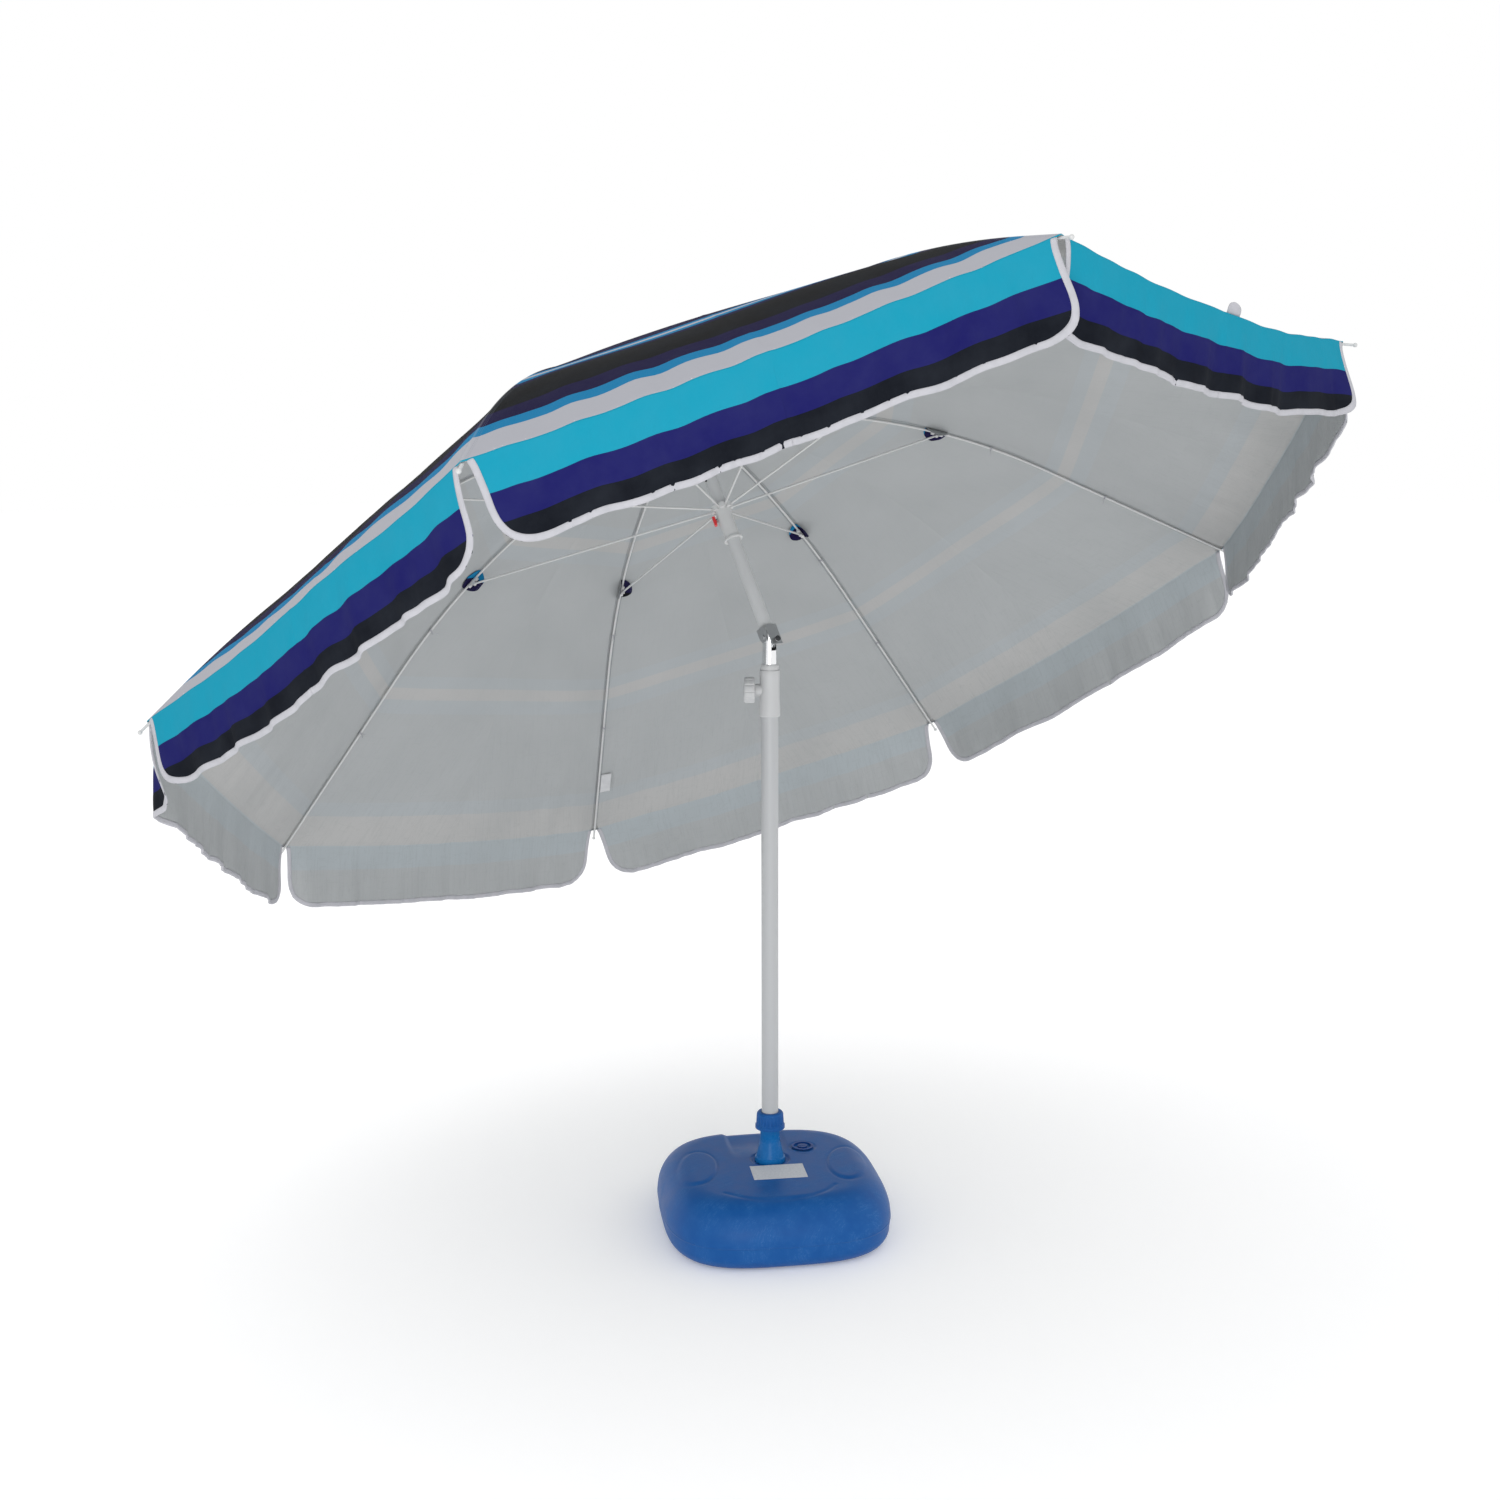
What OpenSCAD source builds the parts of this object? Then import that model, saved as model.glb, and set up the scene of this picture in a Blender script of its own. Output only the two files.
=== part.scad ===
// Tilting beach umbrella: eight steel ribs on a sliding runner, a knuckle that lets the canopy lean,
// a two-part pole with a height clamp, and a blow-moulded base that holds water.
// +Z is up. The origin is on the ground, on the axis of the lower pole.
// The upper pole leans towards -X, and everything on it is modelled upright in the tilt frame.

/* [Lean] */
// Lean of the upper pole away from upright, degrees
tilt = 31.9; // [20:0.1:36]
// Height of the tilt pin above the ground
pivot_h = 1134; // [1050:1:1250]

/* [Canopy] */
// Distance from the pole axis to the fabric's corner on each rib
rim_r = 1109; // [1050:1:1160]
// Height of the rib pivots above the tilt pin, along the upper pole
hub_h = 493; // [480:1:510]
// Fall of a rib below the level beside the hub, degrees
slope_in = 10.5; // [9:0.5:12]
// Fall of a rib below the level at its tip, degrees
slope_out = 33; // [31:0.5:34]
// Depth of the hanging valance
valance_h = 128; // [100:1:150]
// How far the rim droops between two ribs
rim_sag = 14; // [0:1:25]
// Thickness of the coated fabric
fabric_t = 1.1; // [0.8:0.1:2]

/* [Frame] */
// Diameter of a rib
rib_d = 4.5; // [4:0.1:5]
// Distance from the pole axis to the stretcher's pin on a rib
joint_r = 530; // [515:1:545]
// Diameter of a stretcher
stretcher_d = 4; // [3.5:0.1:4.2]
// Height of the stretcher pins on the runner above the tilt pin
runner_h = 272; // [265:1:285]

/* [Poles] */
// Outside diameter of the lower pole
lower_d = 32; // [32:0.1:32.1]
// Outside diameter of the sliding inner pole
inner_d = 28; // [27.8:0.1:28]
// Outside diameter of the upper pole
upper_d = 25; // [24.6:0.1:25]
// Wall of the steel poles
tube_wall = 1.2; // [1:0.1:1.3]

/* [Base] */
// Half the width of the base
base_a = 216; // [200:1:230]
// Height of the base
base_h = 122; // [115:1:130]
// Turn of the base about the pole, degrees
base_yaw = 61; // [0:1:90]
// How far the base's middle lies in front of the pole
base_shift = 22; // [0:1:40]
// Wall of the moulded base
base_wall = 3; // [2.5:0.5:4]

/* [Hidden] */
N = 8;

$fn = 48;
step = 360 / N;
rib_az = 258.75;            // azimuth of rib 1; the others follow clockwise
function az(k) = rib_az - step * (k - 1);

pin_r = 17.2;               // radius of the wire rings that carry ribs and stretchers
wire_d = 1.8;
eye_d = 5.4;
eye_t = 4.2;
eye_bore = wire_d + 0.12;
notch_w = eye_t + 0.6;
flange_d = 42;
bend_start = 300;           // a rib bends between this radius and bend_start + bend_len
bend_len = 450;
bend_r = bend_len / (sin(slope_out) - sin(slope_in));
rib_tip = 15;               // a rib's end stands this far past the fabric corner
joint_drop = 7;             // the stretcher's pin hangs this far below the rib
chrome_d = 26.7;
chrome_low = 50;            // the bright tube shows this far below the tilt pin
bush_t = 11;
clamp_top = 61.3;           // distances below the tilt pin
clamp_h = 86;
knob_drop = 98.6;
knob_az = 232;              // the clamp's knob points this way
button_az = rib_az - step / 2;
collar_top = 218;           // heights above the ground
collar_h = 32;
neck_top = 208;
socket_floor = 13;

// ---------- helpers ----------

module tube(d, bore, h) difference() {
    cylinder(d = d, h = h);
    translate([0, 0, -1]) cylinder(d = bore, h = h + 2);
}

// A straight rod between two points of the XZ plane
module rod(a, b, d) {
    run = b - a;
    translate([a[0], 0, a[1]])
        rotate([0, atan2(run[0], run[1]), 0])
            cylinder(d = d, h = norm(run), $fn = 24);
}

// The frame of the upper pole: origin on the tilt pin, +Z along the leaning pole
module upper() translate([0, 0, pivot_h]) rotate([0, -tilt, 0]) children();

// A solid skin over rings of points, all with the same count, closed by flat ends
module loft(rings) {
    n = len(rings[0]);
    m = len(rings);
    polyhedron(
        points = [for (ring = rings) each ring],
        faces = concat(
            [[for (j = [0:n - 1]) j]],
            [[for (j = [0:n - 1]) m * n - 1 - j]],
            [for (i = [0:m - 2], j = [0:n - 1])
                each [[i * n + j, (i + 1) * n + j, i * n + (j + 1) % n],
                      [i * n + (j + 1) % n, (i + 1) * n + j, (i + 1) * n + (j + 1) % n]]]));
}

// A coil spring along +Z
module coil(d, wire, h, turns) {
    sides = 6;
    per_turn = 12;
    loft([for (i = [0:turns * per_turn])
        let (a = 360 * i / per_turn, z = wire / 2 + (h - wire) * i / (turns * per_turn))
        [for (s = [0:sides - 1])
            let (r = d / 2 + wire / 2 * cos(-s * 360 / sides))
            [r * cos(a), r * sin(a), z + wire / 2 * sin(-s * 360 / sides)]]]);
}

// ---------- rib line ----------

// Straight from the hub to the bend, round in two arcs that meet at the bracket, straight again to the tip.
// The ribs are springy: outside its bracket each one hangs at its own angle.
flex = [0, 3.8, -0.9, 0.3, 1.5, 1.4, -0.1, 1.9, 8.8];   // of ribs 1 to 8, after an unused first value
// Ribs 7, 8 and 1 stay bowed almost to their tips.
function arc_to(k) = k > 6 || k == 1 ? 1040 : bend_start + bend_len;
bend_z = hub_h - tan(slope_in) * (bend_start - pin_r);
bend_mid = [bend_start - bend_r * sin(slope_in), bend_z - bend_r * cos(slope_in)];
joint_slope = asin((joint_r - bend_mid[0]) / bend_r);
function on_bend(slope) = bend_mid + bend_r * [sin(slope), cos(slope)];
function end_slope(k) = slope_out + flex[k];
function outer_r(k) = (arc_to(k) - joint_r) / (sin(end_slope(k)) - sin(joint_slope));
function outer_mid(k) = on_bend(joint_slope) - outer_r(k) * [sin(joint_slope), cos(joint_slope)];
function outer_end(k) = outer_mid(k) + outer_r(k) * [sin(end_slope(k)), cos(end_slope(k))];
function rib_z(k, r) = r <= bend_start ? hub_h - tan(slope_in) * (r - pin_r)
    : r >= arc_to(k) ? outer_end(k)[1] - tan(end_slope(k)) * (r - arc_to(k))
    : r <= joint_r ? bend_mid[1] + sqrt(pow(bend_r, 2) - pow(r - bend_mid[0], 2))
    : outer_mid(k)[1] + sqrt(pow(outer_r(k), 2) - pow(r - outer_mid(k)[0], 2));
function on_rib(k, r) = [r, rib_z(k, r)];
joint_z = rib_z(1, joint_r) - joint_drop;
stretcher_run = [joint_r - pin_r, joint_z - runner_h];

// An eye on a wire ring, its bore across the radial plane
module eye(at) translate([at[0], 0, at[1]]) rotate([90, 0, 0])
    cylinder(d = eye_d, h = eye_t, center = true, $fn = 32);
module eye_hole(at, bore = eye_bore) translate([at[0], 0, at[1]]) rotate([90, 0, 0])
    cylinder(d = bore, h = 2 * eye_t, center = true, $fn = 32);

// The octagonal wire through all eyes of a ring, one straight side in front of each rib
module wire_ring(z) {
    side = 2 * pin_r * tan(step / 2);
    for (k = [1:N]) rotate(az(k)) translate([pin_r, 0, z]) {
        rotate([90, 0, 0]) cylinder(d = wire_d, h = side - 0.8, center = true, $fn = 24);
        translate([0, side / 2, 0]) sphere(d = wire_d + 0.4, $fn = 24);
    }
}

// Notches and groove that seat the wire ring in a flange between two heights
module ring_cuts(z, low, high, wall_r) {
    for (k = [1:N]) rotate(az(k))
        translate([wall_r, -notch_w / 2, low - 1]) cube([flange_d, notch_w, high - low + 2]);
    translate([0, 0, z - wire_d]) difference() {
        cylinder(r = 20, h = high - z + wire_d + 1);
        translate([0, 0, -1]) cylinder(r = pin_r - wire_d / 2 - 0.2, h = high);
    }
}

// ---------- base ----------

function ring_pts(inset, z) = let (n = 48, p = 2 / 3.25, a = base_a - inset)
    [for (j = [0:n - 1]) let (t = 360 * j / n)
        [a * sign(cos(t)) * pow(abs(cos(t)), p), a * sign(sin(t)) * pow(abs(sin(t)), p), z]];
// Rings of a rounded block from height low to high, with rounded foot and shoulder
function block_rings(shrink, low, high, foot, shoulder) = concat(
    [for (f = [0, 30, 60, 90]) ring_pts(shrink + foot * (1 - sin(f)), low + foot * (1 - cos(f)))],
    [for (f = [0:15:90]) ring_pts(shrink + shoulder * (1 - cos(f)), high - shoulder * (1 - sin(f)))]);
module base_place() rotate(base_yaw) translate([0, -base_shift, 0]) children();

module base_shell() color("royalblue") difference() {
    base_place() difference() {
        loft(block_rings(0, 0, base_h, 30, 62));
        loft(block_rings(base_wall, base_wall, base_h - base_wall, 28, 60));
    }
    translate([0, 0, base_h / 2]) cylinder(d = 59, h = base_h);
    base_place() fill_place() cylinder(d = 38.8, h = 30, center = true);
}

module ballast() color("lightblue") difference() {
    base_place() loft(block_rings(base_wall + 0.6, base_wall + 0.6, base_h - base_wall - 8, 27, 56));
    translate([0, 0, 5]) cylinder(d = 39.4, h = base_h);
    base_place() fill_place() cylinder(d = 42, h = 60, center = true);
}

module base_neck() color("dodgerblue") difference() {
    rotate_extrude() polygon([[0, 7], [19, 7], [19, 117], [29, 117], [29, 127], [26.5, 129], [19.5, 160],
        [19, 166], [19, 187], [21, 187], [21, neck_top], [0, neck_top]]);
    translate([0, 0, socket_floor]) cylinder(d = lower_d + 0.6, h = neck_top);
    for (a = [0:60:300]) rotate(a) translate([14, -1, neck_top - 16]) cube([10, 2, 20]);
}

module base_label() color("white") base_place()
    translate([5, -45.5, base_h + 0.1]) rotate(-1) translate([-51, -32.5, 0]) cube([102, 65, 0.6]);

module grip_ring() color("dimgray") translate([0, 0, neck_top + 0.4]) tube(38, lower_d + 0.2, 3.6);

module collar_nut() color("blue") translate([0, 0, collar_top - collar_h]) difference() {
    rotate_extrude() polygon([[0, 0], [28.5, 0], [28.5, 6], [26.6, 8], [25.6, 28], [23.6, 31], [21, collar_h],
        [0, collar_h]]);
    translate([0, 0, -1]) cylinder(d = 42.8, h = collar_h - 4);
    cylinder(d = lower_d + 0.8, h = 2 * collar_h);
    for (a = [0:15:345]) rotate(a) translate([27.2, 0, 9]) cylinder(d = 4, h = 17, $fn = 24);
}

module fill_place() translate([73, 72, base_h]) children();

module fill_cap() color("navy") base_place() fill_place() difference() {
    union() {
        translate([0, 0, -9]) cylinder(d = 38, h = 10);
        translate([0, 0, 0.8]) cylinder(d = 43, h = 1.4);
    }
    // a deep ring round a middle boss with a coin slot
    translate([0, 0, -5.5]) tube(34, 19, 12);
    translate([-7, -1.2, 0]) cube([14, 2.4, 5]);
}

module fill_seal() color("black") base_place() fill_place() translate([0, 0, 0.1])
    tube(42.6, 38.3, 0.6);

// ---------- lower pole ----------

module lower_tube() color("whitesmoke") difference() {
    translate([0, 0, 20]) tube(lower_d, lower_d - 2 * tube_wall, pivot_h - clamp_top - 13 - 20);
    knob_place() cylinder(d = 9, h = 2 * lower_d);
}

module pole_foot() color("dimgray") translate([0, 0, socket_floor + 0.5]) {
    cylinder(d = lower_d, h = 6.3);
    cylinder(d = lower_d - 2 * tube_wall - 0.1, h = 30);
}

// The knob's axis, pointing out of the clamp
module knob_place() translate([0, 0, pivot_h - knob_drop]) rotate([0, 0, knob_az]) rotate([0, 90, 0])
    children();

module height_clamp() color("white") difference() {
    union() {
        translate([0, 0, pivot_h - clamp_top - clamp_h]) rotate_extrude() polygon([[0, 0], [18.6, 0],
            [19.7, 2], [19.5, 14], [18.4, 34], [18.2, 56], [18.8, 80], [18.2, clamp_h], [0, clamp_h]]);
        knob_place() cylinder(d = 23, h = 27);
    }
    translate([0, 0, pivot_h - clamp_top - clamp_h - 1]) cylinder(d = lower_d + 0.1, h = clamp_h - 11.5);
    cylinder(d = inner_d + 0.2, h = pivot_h);
    knob_place() cylinder(d = 8.4, h = 40);
    knob_place() translate([0, 0, 19.4]) cylinder(d = 15.4, h = 6.2, $fn = 6);
}

module clamp_nut() color("silver") knob_place() translate([0, 0, 19.6]) difference() {
    cylinder(d = 15, h = 5.8, $fn = 6);
    translate([0, 0, -1]) cylinder(d = 8.1, h = 8);
}

module clamp_knob() color("white") knob_place() translate([0, 0, 27.6]) difference() {
    rotate_extrude() polygon([[0, 0], [22, 0], [24, 2], [24, 17], [21.5, 20], [0, 20]]);
    translate([0, 0, -1]) cylinder(d = 8, h = 13);
    translate([0, 0, 18.8]) cylinder(d = 29, h = 3);
    for (a = [0:30:330]) rotate(a) translate([25.6, 0, -1]) cylinder(d = 6, h = 22, $fn = 24);
}

module knob_screw() color("silver") knob_place() translate([0, 0, 14.4]) cylinder(d = 8, h = 25);

module knob_cap() color("dimgray") knob_place() translate([0, 0, 46.5]) cylinder(d = 28, h = 1.4);

// ---------- inner pole and the lower half of the knuckle ----------

inner_low = 560;
bush_low = pivot_h - chrome_low - bush_t;

module inner_tube() color("whitesmoke") translate([0, 0, inner_low])
    tube(inner_d, inner_d - 2 * tube_wall, bush_low + 5 - inner_low);

module inner_guide() color("dimgray") translate([0, 0, inner_low - 8]) {
    tube(lower_d - 2 * tube_wall - 0.4, 20, 7.9);
    tube(inner_d - 2 * tube_wall - 0.1, 20, 24);
}

module pole_bush() color("gainsboro") translate([0, 0, bush_low]) difference() {
    rotate_extrude() polygon([[0, 0], [16.5, 0], [16.5, 8], [15, bush_t], [0, bush_t]]);
    translate([0, 0, -1]) cylinder(d = inner_d + 0.1, h = 6.1);
    cylinder(d = chrome_d + 0.1, h = 2 * bush_t);
}

module lower_knuckle() color("silver") translate([0, 0, pivot_h]) difference() {
    union() {
        intersection() {
            translate([0, 0, -chrome_low - 5.8]) cylinder(d = chrome_d, h = chrome_low + 5.8 + 14);
            union() {
                translate([-20, -20, -80]) cube([40, 40, 80]);
                rotate([90, 0, 0]) cylinder(d = chrome_d, h = 40, center = true);
            }
        }
        translate([0, 0, -92]) cylinder(d = inner_d - 2 * tube_wall - 0.2, h = 42);
    }
    difference() {
        translate([0, 0, -93]) cylinder(d = 21.5, h = 86);
        translate([-20, -20, -7]) cube([40, 40, 20]);
    }
    translate([8.4, -5.5, -24]) cube([12, 11, 22]);
    rotate([90, 0, 0]) cylinder(d = 6, h = 60, center = true);
}

module tilt_pin() color("dimgray") translate([0, 0, pivot_h]) rotate([90, 0, 0]) {
    cylinder(d = 6, h = 34, center = true);
    for (s = [-1, 1]) translate([0, 0, s * 16.8]) cylinder(d = 9, h = 1.8, center = true);
}

// ---------- upper pole ----------

cheek_in = 13.8;
cheek_out = 15.6;
fork_top = 19;

module tilt_fork() color("silver") upper() difference() {
    intersection() {
        translate([-11, -cheek_out, -22]) cube([11 + cheek_out, 2 * cheek_out, fork_top + 22]);
        translate([0, 0, -30]) cylinder(d = 38.4, h = 60);
    }
    translate([-30, -cheek_in, -30]) cube([30 + cheek_in, 2 * cheek_in, 30 + fork_top - 2.2]);
    // the cheeks end in a round nose below the pin
    difference() {
        translate([-30, -30, -40]) cube([30 + cheek_in, 60, 40]);
        rotate([90, 0, 0]) cylinder(d = 20, h = 60, center = true);
    }
    rotate([90, 0, 0]) cylinder(d = 6.1, h = 60, center = true);
    translate([0, 0, -13]) rotate([0, 90, 0]) cylinder(d = 6.6, h = 40);
}

module tilt_button() color("black") upper() translate([0, 0, -13]) rotate([0, 90, 0]) {
    translate([0, 0, 10.4]) cylinder(d = 6, h = 9);
    translate([0, 0, 18.9]) cylinder(d = 10, h = 3.2);
}

module tilt_spring() color("gray") upper() translate([cheek_out + 0.1, 0, -13]) rotate([0, 90, 0])
    coil(8.2, 0.7, 3.1, 3);

module upper_tube() color("whitesmoke") upper() difference() {
    translate([0, 0, fork_top]) tube(upper_d, upper_d - 2 * tube_wall, hub_h + 4 - fork_top);
    rotate(270) translate([0, 0, 332]) rotate([0, 90, 0]) cylinder(d = 4.2, h = 20);
}

module stop_pin() color("black") upper() rotate(270) translate([6, 0, 332]) rotate([0, 90, 0])
    cylinder(d = 4, h = 8.2);

module top_hub() color("white") upper() difference() {
    union() {
        translate([0, 0, hub_h - 24]) cylinder(d = 29, h = 24);
        translate([0, 0, hub_h - 7]) cylinder(d = flange_d, h = 8.4);
    }
    translate([0, 0, hub_h - 30]) cylinder(d = upper_d, h = 60);
    ring_cuts(hub_h, hub_h - 7, hub_h + 1.4, 14.2);
}

module hub_wire() color("silver") upper() wire_ring(hub_h);

module finial() color("white") upper() translate([0, 0, hub_h + 6]) {
    rotate_extrude() polygon([[0, 0], [22, 0], [22, 1.6], [9, 4], [6, 9], [8.5, 15], [7.5, 20], [4, 23.4], [0, 24]]);
    translate([0, 0, -40]) cylinder(d = upper_d - 2 * tube_wall - 0.1, h = 40);
}

// ---------- runner ----------

runner_low = 204;
runner_top = runner_h + 5;

module runner() color("white") upper() difference() {
    union() {
        translate([0, 0, runner_low]) cylinder(d = 29, h = runner_top - runner_low);
        translate([0, 0, runner_h - 5]) cylinder(d = flange_d, h = 10);
        translate([0, 0, runner_low]) rotate_extrude() polygon([[0, 0], [18, 0], [18, 3.5], [14.5, 6.5], [0, 6.5]]);
    }
    translate([0, 0, runner_low - 1]) cylinder(d = upper_d + 0.6, h = 100);
    ring_cuts(runner_h, runner_h - 5, runner_top, 14.2);
    button_place() cylinder(d = 6.6, h = 40);
}

module runner_wire() color("silver") upper() wire_ring(runner_h);

// The latch button's axis, pointing out of the runner
module button_place() translate([0, 0, runner_h - 21]) rotate(button_az) rotate([0, 90, 0]) children();

module latch_button() color("red") upper() button_place() {
    translate([0, 0, 16.6]) cylinder(d = 6, h = 4.5);
    translate([0, 0, 21.5]) intersection() {
        cube([18.4, 10.8, 5], center = true);
        cylinder(d = 20, h = 5, center = true);
    }
}

module latch_spring() color("gray") upper() button_place() translate([0, 0, 14.7]) coil(8, 0.8, 4.1, 3);

// ---------- ribs and stretchers ----------

// Round rod bent between two slopes about a point
module bent_rod(mid, r, from, to) translate([mid[0], 0, mid[1]]) rotate([90, 0, 0]) {
    trim = 0.06 * bend_r / r;
    rotate(90 - to + trim) rotate_extrude(angle = to - from - 2 * trim, $fn = 240)
        translate([r, 0]) circle(d = rib_d, $fn = 24);
}

module rib(k) color("white") upper() rotate(az(k)) {
    root = on_rib(k, pin_r);
    tip = on_rib(k, rim_r + rib_tip);
    in_dir = [cos(slope_in), -sin(slope_in)];
    out_dir = [cos(end_slope(k)), -sin(end_slope(k))];
    difference() {
        union() {
            eye(root);
            rod(root, on_rib(k, bend_start) - 0.8 * in_dir, rib_d);
            bent_rod(bend_mid, bend_r, slope_in, joint_slope);
            bent_rod(outer_mid(k), outer_r(k), joint_slope, end_slope(k));
            rod(outer_end(k) + 0.8 * out_dir, tip, rib_d);
            for (bead = [on_rib(k, bend_start), on_rib(k, joint_r), outer_end(k), tip])
                translate([bead[0], 0, bead[1]]) sphere(d = bead == tip ? 7.5 : rib_d + 1.2, $fn = 24);
        }
        eye_hole(root);
    }
    rib_saddle();
}

// The folded plate on a rib, with the pin that takes the stretcher's end
module rib_saddle() translate([joint_r, 0, joint_z])
    rotate([0, joint_slope, 0]) {
        difference() {
            union() {
                translate([0, 0, 3.2]) cube([26, 7.2, 3.6], center = true);
                rotate([90, 0, 0]) cylinder(d = 7.6, h = 7.2, center = true, $fn = 32);
            }
            translate([0, 0, -0.6]) cube([14, eye_t + 0.8, 9], center = true);
        }
        rotate([90, 0, 0]) cylinder(d = wire_d, h = 7.2, center = true, $fn = 24);
    }

module stretcher(k) color("white") upper() rotate(az(k)) {
    low = [pin_r, runner_h];
    high = [joint_r, joint_z];
    along = stretcher_run / norm(stretcher_run);
    difference() {
        union() {
            eye(low);
            eye(high);
            rod(low + 1.6 * along, high - 1.6 * along, stretcher_d);
        }
        eye_hole(low);
        eye_hole(high);
    }
}

// ---------- canopy ----------

fabric_lift = rib_d / 2 + 2.5;
seam_gap = 0.3;
// Across a sector from one gore's middle to the next: 0 is the rib, 1 and -1 are the gores' middles
across = [-1, -0.55, -0.18, -0.11, -0.06, -0.04, -0.02, 0, 0.02, 0.04, 0.06, 0.11, 0.18, 0.55, 1];
lean = 0.75;                // the valance leans uphill by this share of its rim's slope
rows = 15;                  // from the hub to the rim
function row_r(i) = pin_r + (rim_r - pin_r) * i / (rows - 1);

function turn(v, a) = [v[0] * cos(a) + v[1] * sin(a), -v[0] * sin(a) + v[1] * cos(a), v[2]];
// Straight down, seen from the frame of a rib
function down(k) = turn([-sin(tilt), 0, -cos(tilt)], az(k));
function beside(k, c) = c > 0 ? (k + N - 2) % N + 1 : k % N + 1;
function gore_point(k, i, c) = let (
        r = row_r(i),
        half = abs(c) / 2,
        along_rib = r * (1 - half * (1 - cos(step))),
        side = max(0, r * half * sin(step) - seam_gap * abs(c)),
        droop = rim_sag * abs(c) * (2 - abs(c)) * pow(r / rim_r, 4))
    [along_rib, sign(c) * side, rib_z(k, r) * (1 - half) + rib_z(beside(k, c), r) * half + fabric_lift - droop];
// From a rib's corner to the next rib's corner
function rim_run(k, c) = [-rim_r * (1 - cos(step)), sign(c) * rim_r * sin(step),
    rib_z(beside(k, c), rim_r) - rib_z(k, rim_r)];
function hang(k, c) = c == 0 ? down(k) : let (
        d = down(k),
        run = rim_run(k, c),
        rise = -run * d,
        level = run + rise * d)
    d + level * lean * rise / (level * level);
// Outward and level across a hanging valance
function outward(k, c) = let (
        one = cross(down(k), rim_run(k, 1)),
        two = cross(down(k), rim_run(k, -1)),
        v = c > 0 ? one : c < 0 ? -two : one - two,
        w = v[0] < 0 ? -v : v)
    w / norm(w);
// The slit beside a rib and the round corner under it, as shares of the half gore and of the depth
valance_cut = [[0, 0.008], [0.02, 0.012], [0.04, 0.45], [0.06, 0.76], [0.11, 0.94], [0.18, 1], [1, 1]];
function valance_depth(c) = valance_h * lookup(abs(c), valance_cut);
function sheet_point(k, i, c) = i < rows ? gore_point(k, i, c)
    : gore_point(k, rows - 1, c) + hang(k, c) * valance_depth(c) * (i - rows + 1) / 2;
function sheet_offset(k, i, c) = i < rows - 1 ? [0, 0, fabric_t]
    : i == rows - 1 ? [0, 0, fabric_t] + outward(k, c) * fabric_t * 0.7
    : outward(k, c) * fabric_t;

function quad(a, b, c, d) = [[a, b, c], [a, c, d]];

module canopy(k) color("turquoise") upper() rotate(az(k)) {
    all_rows = [0:rows + 1];
    n = len(across);
    m = rows + 2;
    inner = [for (i = all_rows, c = across) sheet_point(k, i, c)];
    outer = [for (i = all_rows, c = across) sheet_point(k, i, c) + sheet_offset(k, i, c)];
    o = n * m;
    polyhedron(points = concat(inner, outer), faces = concat(
        [for (i = [0:m - 2], j = [0:n - 2])
            each quad(i * n + j, i * n + j + 1, (i + 1) * n + j + 1, (i + 1) * n + j)],
        [for (i = [0:m - 2], j = [0:n - 2])
            each quad(o + i * n + j, o + (i + 1) * n + j, o + (i + 1) * n + j + 1, o + i * n + j + 1)],
        [for (i = [0:m - 2]) each quad(i * n, (i + 1) * n, o + (i + 1) * n, o + i * n)],
        [for (i = [0:m - 2]) each quad((i + 1) * n - 1, o + (i + 1) * n - 1, o + (i + 2) * n - 1, (i + 2) * n - 1)],
        [for (j = [0:n - 2]) each quad(j, o + j, o + j + 1, j + 1)],
        [for (j = [0:n - 2]) let (b = (m - 1) * n + j) each quad(b, b + 1, o + b + 1, o + b)]));
}

base_shell();
ballast();
base_neck();
base_label();
grip_ring();
collar_nut();
fill_cap();
fill_seal();
lower_tube();
pole_foot();
height_clamp();
clamp_nut();
clamp_knob();
knob_screw();
knob_cap();
inner_tube();
inner_guide();
pole_bush();
lower_knuckle();
tilt_pin();
tilt_fork();
tilt_button();
tilt_spring();
upper_tube();
stop_pin();
top_hub();
hub_wire();
finial();
runner();
runner_wire();
latch_button();
latch_spring();
for (k = [1:N]) {
    rib(k);
    stretcher(k);
    canopy(k);
}
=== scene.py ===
"""Looks for the tilting beach umbrella: cloth, bindings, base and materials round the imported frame."""
import bpy
import math
import numpy as np
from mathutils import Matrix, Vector


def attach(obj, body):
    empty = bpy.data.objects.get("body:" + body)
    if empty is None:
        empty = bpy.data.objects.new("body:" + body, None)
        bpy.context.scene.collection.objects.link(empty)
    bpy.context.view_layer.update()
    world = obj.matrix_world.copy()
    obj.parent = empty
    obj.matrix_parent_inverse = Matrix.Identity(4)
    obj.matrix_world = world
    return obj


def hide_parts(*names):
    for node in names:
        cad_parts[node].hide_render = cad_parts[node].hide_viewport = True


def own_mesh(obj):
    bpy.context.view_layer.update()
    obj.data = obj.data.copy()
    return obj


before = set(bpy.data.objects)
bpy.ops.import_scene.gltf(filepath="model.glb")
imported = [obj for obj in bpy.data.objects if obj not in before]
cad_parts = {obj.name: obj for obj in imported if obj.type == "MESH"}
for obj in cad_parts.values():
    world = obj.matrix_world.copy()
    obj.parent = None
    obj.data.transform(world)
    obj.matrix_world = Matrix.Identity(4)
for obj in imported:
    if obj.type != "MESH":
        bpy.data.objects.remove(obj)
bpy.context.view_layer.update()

# ---------- the frame's own measures, in metres ----------
TILT = math.radians(31.9)
PIVOT = 1.134               # height of the tilt pin
RIBS = 8
STEP = 2 * math.pi / RIBS
PIN_R = 0.0172              # radius of the ring that the ribs turn on
HUB = 0.493                 # height of that ring above the tilt pin
RIM = 1.109                 # distance from the pole's axis to the cloth's corner
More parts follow.
